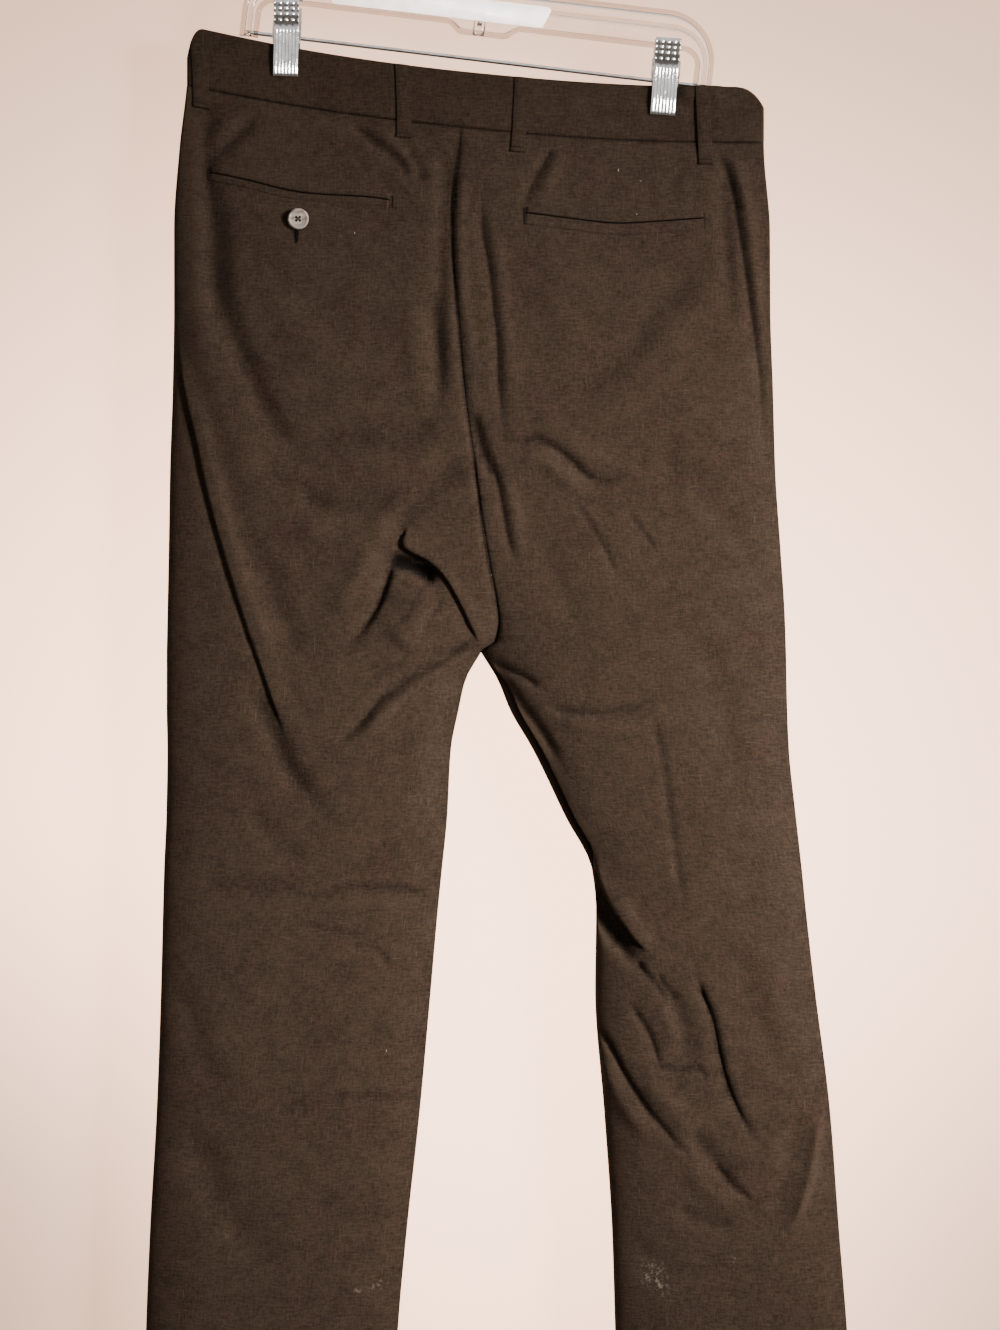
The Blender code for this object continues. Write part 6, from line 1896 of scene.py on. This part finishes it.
class TROUSERS_OT_hanger_wire(bpy.types.Operator):
    """Make the steel rod and the wire hook"""
    bl_idname = "trousers.hanger_wire"
    bl_label = "Rod and hook"

    def execute(self, context):
        place = hanger_place()
        radius = context.scene.trousers_fittings.rod_radius / MM
        half = HANGER_HALF_LENGTH - ROD_END
        along = np.linspace(-half, half, 40)
        points, faces = swept_tube([(a, 0.0, ROD_UP) for a in along], radius, 20)
        new_piece("steel_rod", placed(points, place), faces, steel_material(), "plated_steel", ["hanger_rod"])
        bend = HOOK_INNER_RADIUS + HOOK_WIRE
        centre = Vector((0.0, 0.0, -HOOK_INNER_RADIUS))
        shank = [place @ Vector((0.0, 0.0, up)) for up in np.linspace(HOOK_SEAT + 0.6, HOOK_NECK, 14)]
        start = math.radians(-50)
        turn_in = centre + bend * Vector((math.cos(start), 0.0, math.sin(start)))
        heading = Vector((math.sin(HANGER_TILT), 0.0, math.cos(HANGER_TILT)))
        turning = Vector((-math.sin(start), 0.0, math.cos(start)))
        neck = []
        for t in np.linspace(0.0, 1.0, 16)[1:-1]:
            a, b = shank[-1], shank[-1] + heading * 14.0
            c, d = turn_in - turning * 14.0, turn_in
            neck.append(a * (1 - t) ** 3 + b * 3 * t * (1 - t) ** 2 + c * 3 * t * t * (1 - t) + d * t ** 3)
        turns = np.radians(np.linspace(-50, 205, 48))
        ring = [centre + bend * Vector((math.cos(a), 0.0, math.sin(a))) for a in turns]
        points, faces = swept_tube([tuple(p) for p in shank + neck + ring], HOOK_WIRE, 16)
        new_piece("wire_hook", points, faces, steel_material(), "plated_steel", ["hanger_hook"])
        return {"FINISHED"}


JAW_GRID = (76, 57)
JAW_RIBS = 7.5
JAW_RIB_HEIGHT = 0.55
JAW_RIBS_TOP = 36.0
KNURL_FOOT = 37.0
KNURL_PITCH = 1.9
KNURL_COLUMNS = 4
KNURL_HEIGHT = 0.8
SPRING_TURNS = 7
SPRING_HALF_WIDTH = 6.6
SPRING_RADIUS = 2.9
SPRING_ARM = (
    # aside, out, up from the coil
    (6.6, 2.9, 0.0),
    (9.0, 3.6, 2.0),
    (10.1, 1.5, 6.0),
    (10.3, -1.5, 3.0),
    (10.3, -3.0, -6.0),
    (9.6, -4.2, -12.0),
)


def jaw_plate(face):
    """Points and faces of a jaw in its clip's frame, ribbed below and knurled where it is pinched."""
    rows, columns = JAW_GRID
    outward = outward_of(face)
    top = JAW_PROFILE[-1][0]
    s, u = np.meshgrid(np.linspace(-1.0, 1.0, columns), np.linspace(0.0, top, rows))
    low = read_table(JAW_PROFILE, 1, u)
    ribbed = smooth((JAW_RIBS_TOP - u) / 3.0)
    gripped = smooth((u - KNURL_FOOT) / 2.0) * smooth(top - 1.5 - u)
    ribs = JAW_RIB_HEIGHT * np.maximum(np.cos(s * math.pi * JAW_RIBS), -0.3) * ribbed
    teeth = 0.55 + 0.45 * np.sign(np.cos((u - KNURL_FOOT) * math.pi / KNURL_PITCH))
    knurl = KNURL_HEIGHT * np.maximum(np.cos(s * math.pi * KNURL_COLUMNS), 0.0) * teeth * gripped
    round_sides = np.clip((np.abs(s) - 0.93) / 0.07, 0.0, 1.0) ** 2
    round_ends = 0.8 * bell(u, 1.0) + 0.6 * bell(top - u, 0.9)
    raised = low + CLIP_WALL + ribs + knurl + 0.3 - round_sides - round_ends
    width = CLIP_WIDTH / 2 * (1 - 0.03 * bell(u - KNURL_FOOT, 4.0))
    outer = skin(s * width, np.maximum(raised, low + 0.35), u, outward)
    inner = skin(s * width, low, u, outward)
    return np.concatenate([outer.reshape(-1, 3), inner.reshape(-1, 3)]), wall_faces(rows, columns)


def clip_spring():
    """Points and faces of a clip's coil, its two arms and the plate that it sits on."""
    turns = np.linspace(0.0, 2 * math.pi * SPRING_TURNS, 150)
    coil = np.stack([np.linspace(-SPRING_HALF_WIDTH, SPRING_HALF_WIDTH, 150), SPRING_RADIUS * np.cos(turns),
                     SPRING_UP + SPRING_RADIUS * np.sin(turns)], axis=1)
    parts = [swept_tube(coil, 0.6, 8)]
    for edge in (-1, 1):
        arm = np.array([(edge * aside, out, SPRING_UP + up) for aside, out, up in SPRING_ARM])
        parts.append(swept_tube(smooth_run(arm, 1.0), 0.55, 8))
    plate = [(a, SPRING_UP + b) for a, b in ((-3.0, -0.8), (3.0, -0.8), (3.0, 0.8), (-3.0, 0.8))]
    parts.append(flat_plate(plate, 5.4))
    return joined(parts)


class TROUSERS_OT_clips(bpy.types.Operator):
    """Make the two spring clips"""
    bl_idname = "trousers.clips"
    bl_label = "Clips"

    def execute(self, context):
        for name, foot, lean in CLIPS:
            place = Matrix.Translation(Vector((foot[0], 0.0, foot[1]))) @ Matrix.Rotation(lean, 4, "Y")
            for face in ("back", "front"):
                points, faces = jaw_plate(face)
                new_piece(f"{name}_plate_{face}", placed(points, place), faces, steel_material(),
                          "plated_steel", [f"{name}_{face}"])
            points, faces = clip_spring()
            new_piece(f"{name}_wire_spring", placed(points, place), faces, steel_material(), "plated_steel",
                      [f"{name}_spring"])
        return {"FINISHED"}


# ---------------------------------------------------------------- stage

# Where the room is brightest, as a direction
BRIGHT_SIDE = (0.62, -0.55, 0.56)

# Painted pools of light and shade on the wall, in metres: centre, from where to where they fade, and the glow there
# and there
WALL_POOLS = (
    ((-0.02, 0.04, -0.74), 0.1, 0.8, (1.0, 0.27)),
    ((-0.45, 0.04, -1.07), 0.05, 0.42, (0.36, 1.0)),
    ((0.5, 0.04, -1.1), 0.05, 0.4, (0.6, 1.0)),
)

# The picture's frame, in metres on the middle plane
CAMERA_AWAY = 1.8
CAMERA_X = 0.009
CAMERA_Z = -0.5865
FRAME_TALL = 0.9975

# The wall and the floor, in metres
FLOOR_LEVEL = -1.45
WALL_TOP = 1.6
STAGE_REACH = 3
FLOOR_DEEP = 4

LAMPS = (
    # name, its power's setting, place and aim in metres, size in metres, spread in degrees
    ("key", "key_watts", (2.2, -1.75, -0.35), (0.1, 0.0, -0.68), 0.8, 36.0),
    ("fill", "fill_watts", (-1.5, -2.0, 0.0), (-0.1, 0.0, -0.4), 1.6, 180.0),
    ("far fill", "far_watts", (0.4, 2.4, 0.4), (0.0, 0.0, -0.7), 1.8, 180.0),
)
LAMP_COLOUR = (1.0, 0.955, 0.91)
SKY_COLOUR = (1.0, 0.97, 0.94, 1.0)


def stage_paint(name, tint, share_lit):
    """Matt paint with soft clouds and a fine grain."""
    material, tree, shader = blank_material(name + " paint")
    place = node(tree, "ShaderNodeTexCoord").outputs["Object"]
    cloud = noise(tree, place, 2.2, 3.0, 0.6)
    grain = noise(tree, place, 420.0, 2.0, 0.5)
    paint = [tuple(share_lit * c * shade for c in tint[:3]) + (1.0,) for shade in (1.0, 0.86)]
    feed(tree, shader, Base_Color=colour_mix(tree, times(tree, cloud, 0.25), *paint), Roughness=0.7)
    bump(tree, shader, grain, 0.12, 0.0003)
    return material, tree, shader, place


def wall_light(tree, place, settings):
    """The wall's painted glow in soft pools of painted light and shade, brighter to the eye than to the cloth that it
    lights.
    """
    rays = node(tree, "ShaderNodeLightPath").outputs
    looked_at = math_node(tree, "MAXIMUM", rays["Is Camera Ray"], rays["Is Transmission Ray"])
    glow = colour_mix(tree, looked_at, tuple(settings.wall[:3]) + (1.0,), settings.wall_seen)
    brighter = plus(tree, times(tree, looked_at, settings.wall_bright - 1.0), 1.0)
    for centre, near, far, share_left in WALL_POOLS:
        away = node(tree, "ShaderNodeVectorMath", operation="DISTANCE", i0=place, i1=centre)
        left = smooth_range(tree, away.outputs["Value"], near, far, *share_left)
        brighter = times(tree, left, brighter)
    scaled = node(tree, "ShaderNodeVectorMath", operation="SCALE", i0=glow)
    feed(tree, scaled, Scale=brighter)
    return scaled.outputs[0]


def make_lamps(settings):
    for name, watts, place, aim, size, spread in LAMPS:
        light = bpy.data.lights.new(name, "AREA")
        light.energy = getattr(settings, watts)
        light.size = size
        light.spread = math.radians(spread)
        light.color = LAMP_COLOUR
        lamp = show(name, light)
        lamp.location = place
        lamp.rotation_euler = (Vector(aim) - Vector(place)).to_track_quat("-Z", "Y").to_euler()


def make_sky(settings):
    """Light from all round, stronger on the bright side and in what mirrors it."""
    world = bpy.data.worlds.new("studio")
    bpy.context.scene.world = world
    world.use_nodes = True
    sky = world.node_tree
    way = node(sky, "ShaderNodeNewGeometry").outputs["Position"]
    toward = node(sky, "ShaderNodeVectorMath", operation="DOT_PRODUCT", i0=way, i1=BRIGHT_SIDE)
    side = smooth_range(sky, toward.outputs["Value"], -0.5, 0.95, 0.65, 1.8)
    mirrored = node(sky, "ShaderNodeLightPath").outputs["Is Glossy Ray"]
    more = plus(sky, times(sky, mirrored, settings.mirrored), 1.0)
    feed(sky, sky.nodes["Background"], Color=SKY_COLOUR,
         Strength=times(sky, times(sky, side, settings.sky), more))


def make_camera():
    view = bpy.data.cameras.new("camera")
    view.sensor_width = 36.0
    view.lens = view.sensor_width * CAMERA_AWAY / FRAME_TALL
    view.clip_start, view.clip_end = 0.05, 50.0
    camera = show("camera", view)
    camera.location = (CAMERA_X, -CAMERA_AWAY, CAMERA_Z)
    camera.rotation_euler = (math.pi / 2, 0.0, 0.0)
    bpy.context.scene.camera = camera


class TROUSERS_OT_stage(bpy.types.Operator):
    """Set up the plain wall, floor, lights and camera"""
    bl_idname = "trousers.stage"
    bl_label = "Stage"

    def execute(self, context):
        settings = context.scene.trousers_stage
        reach, deep, low, top, gap = STAGE_REACH, FLOOR_DEEP, FLOOR_LEVEL, WALL_TOP, settings.wall_gap
        for name, corners, tint, share_lit in (
                ("wall", ((-reach, gap, low), (reach, gap, low), (reach, gap, top), (-reach, gap, top)),
                 settings.wall, settings.wall_lit),
                ("floor", ((-reach, -deep, low), (reach, -deep, low), (reach, deep, low), (-reach, deep, low)),
                 settings.floor, 1.0)):
            mesh = bpy.data.meshes.new(name)
            mesh.from_pydata(corners, [], [(0, 1, 2, 3)])
            stage = show(name, mesh)
            material, tree, shader, place = stage_paint(name, tint, share_lit)
            if name == "wall":
                behind = node(tree, "ShaderNodeNewGeometry").outputs["Backfacing"]
                shadow = node(tree, "ShaderNodeLightPath").outputs["Is Shadow Ray"]
                let_through(tree, shader, math_node(tree, "MAXIMUM", behind, shadow))
                feed(tree, shader, Emission_Color=wall_light(tree, place, settings),
                     Emission_Strength=settings.wall_glow)
            mesh.materials.append(material)
        make_lamps(settings)
        make_sky(settings)
        make_camera()
        return {"FINISHED"}


class TROUSERS_PT_panel(bpy.types.Panel):
    """Lists the pieces of the trousers and their settings"""
    bl_idname = "TROUSERS_PT_panel"
    bl_label = "Linen trousers"
    bl_space_type = "VIEW_3D"
    bl_region_type = "UI"
    bl_category = "Trousers"

    def draw(self, context):
        layout = self.layout
        for operator in OPERATORS:
            layout.operator(operator.bl_idname)
        for settings in (context.scene.trousers_cloth, context.scene.trousers_stitch,
                         context.scene.trousers_fittings, context.scene.trousers_stage):
            for key in settings.__annotations__:
                layout.prop(settings, key)


SETTINGS = (
    ("trousers_cloth", ClothSettings),
    ("trousers_stitch", StitchSettings),
    ("trousers_fittings", FittingSettings),
    ("trousers_stage", StageSettings),
)
OPERATORS = (
    TROUSERS_OT_panels,
    TROUSERS_OT_waistband,
    TROUSERS_OT_belt_loops,
    TROUSERS_OT_back_pockets,
    TROUSERS_OT_front_pockets,
    TROUSERS_OT_buttons,
    TROUSERS_OT_stitching,
    TROUSERS_OT_lint,
    TROUSERS_OT_hanger_frame,
    TROUSERS_OT_hanger_wire,
    TROUSERS_OT_clips,
    TROUSERS_OT_stage,
)


def register():
    for name, settings in SETTINGS:
        bpy.utils.register_class(settings)
        setattr(bpy.types.Scene, name, PointerProperty(type=settings))
    for operator in OPERATORS:
        bpy.utils.register_class(operator)
    bpy.utils.register_class(TROUSERS_PT_panel)


def unregister():
    bpy.utils.unregister_class(TROUSERS_PT_panel)
    for operator in reversed(OPERATORS):
        bpy.utils.unregister_class(operator)
    for name, settings in reversed(SETTINGS):
        delattr(bpy.types.Scene, name)
        bpy.utils.unregister_class(settings)


def main():
    register()
    for operator in OPERATORS:
        group, action = operator.bl_idname.split(".")
        getattr(getattr(bpy.ops, group), action)()


if __name__ == "__main__":
    main()
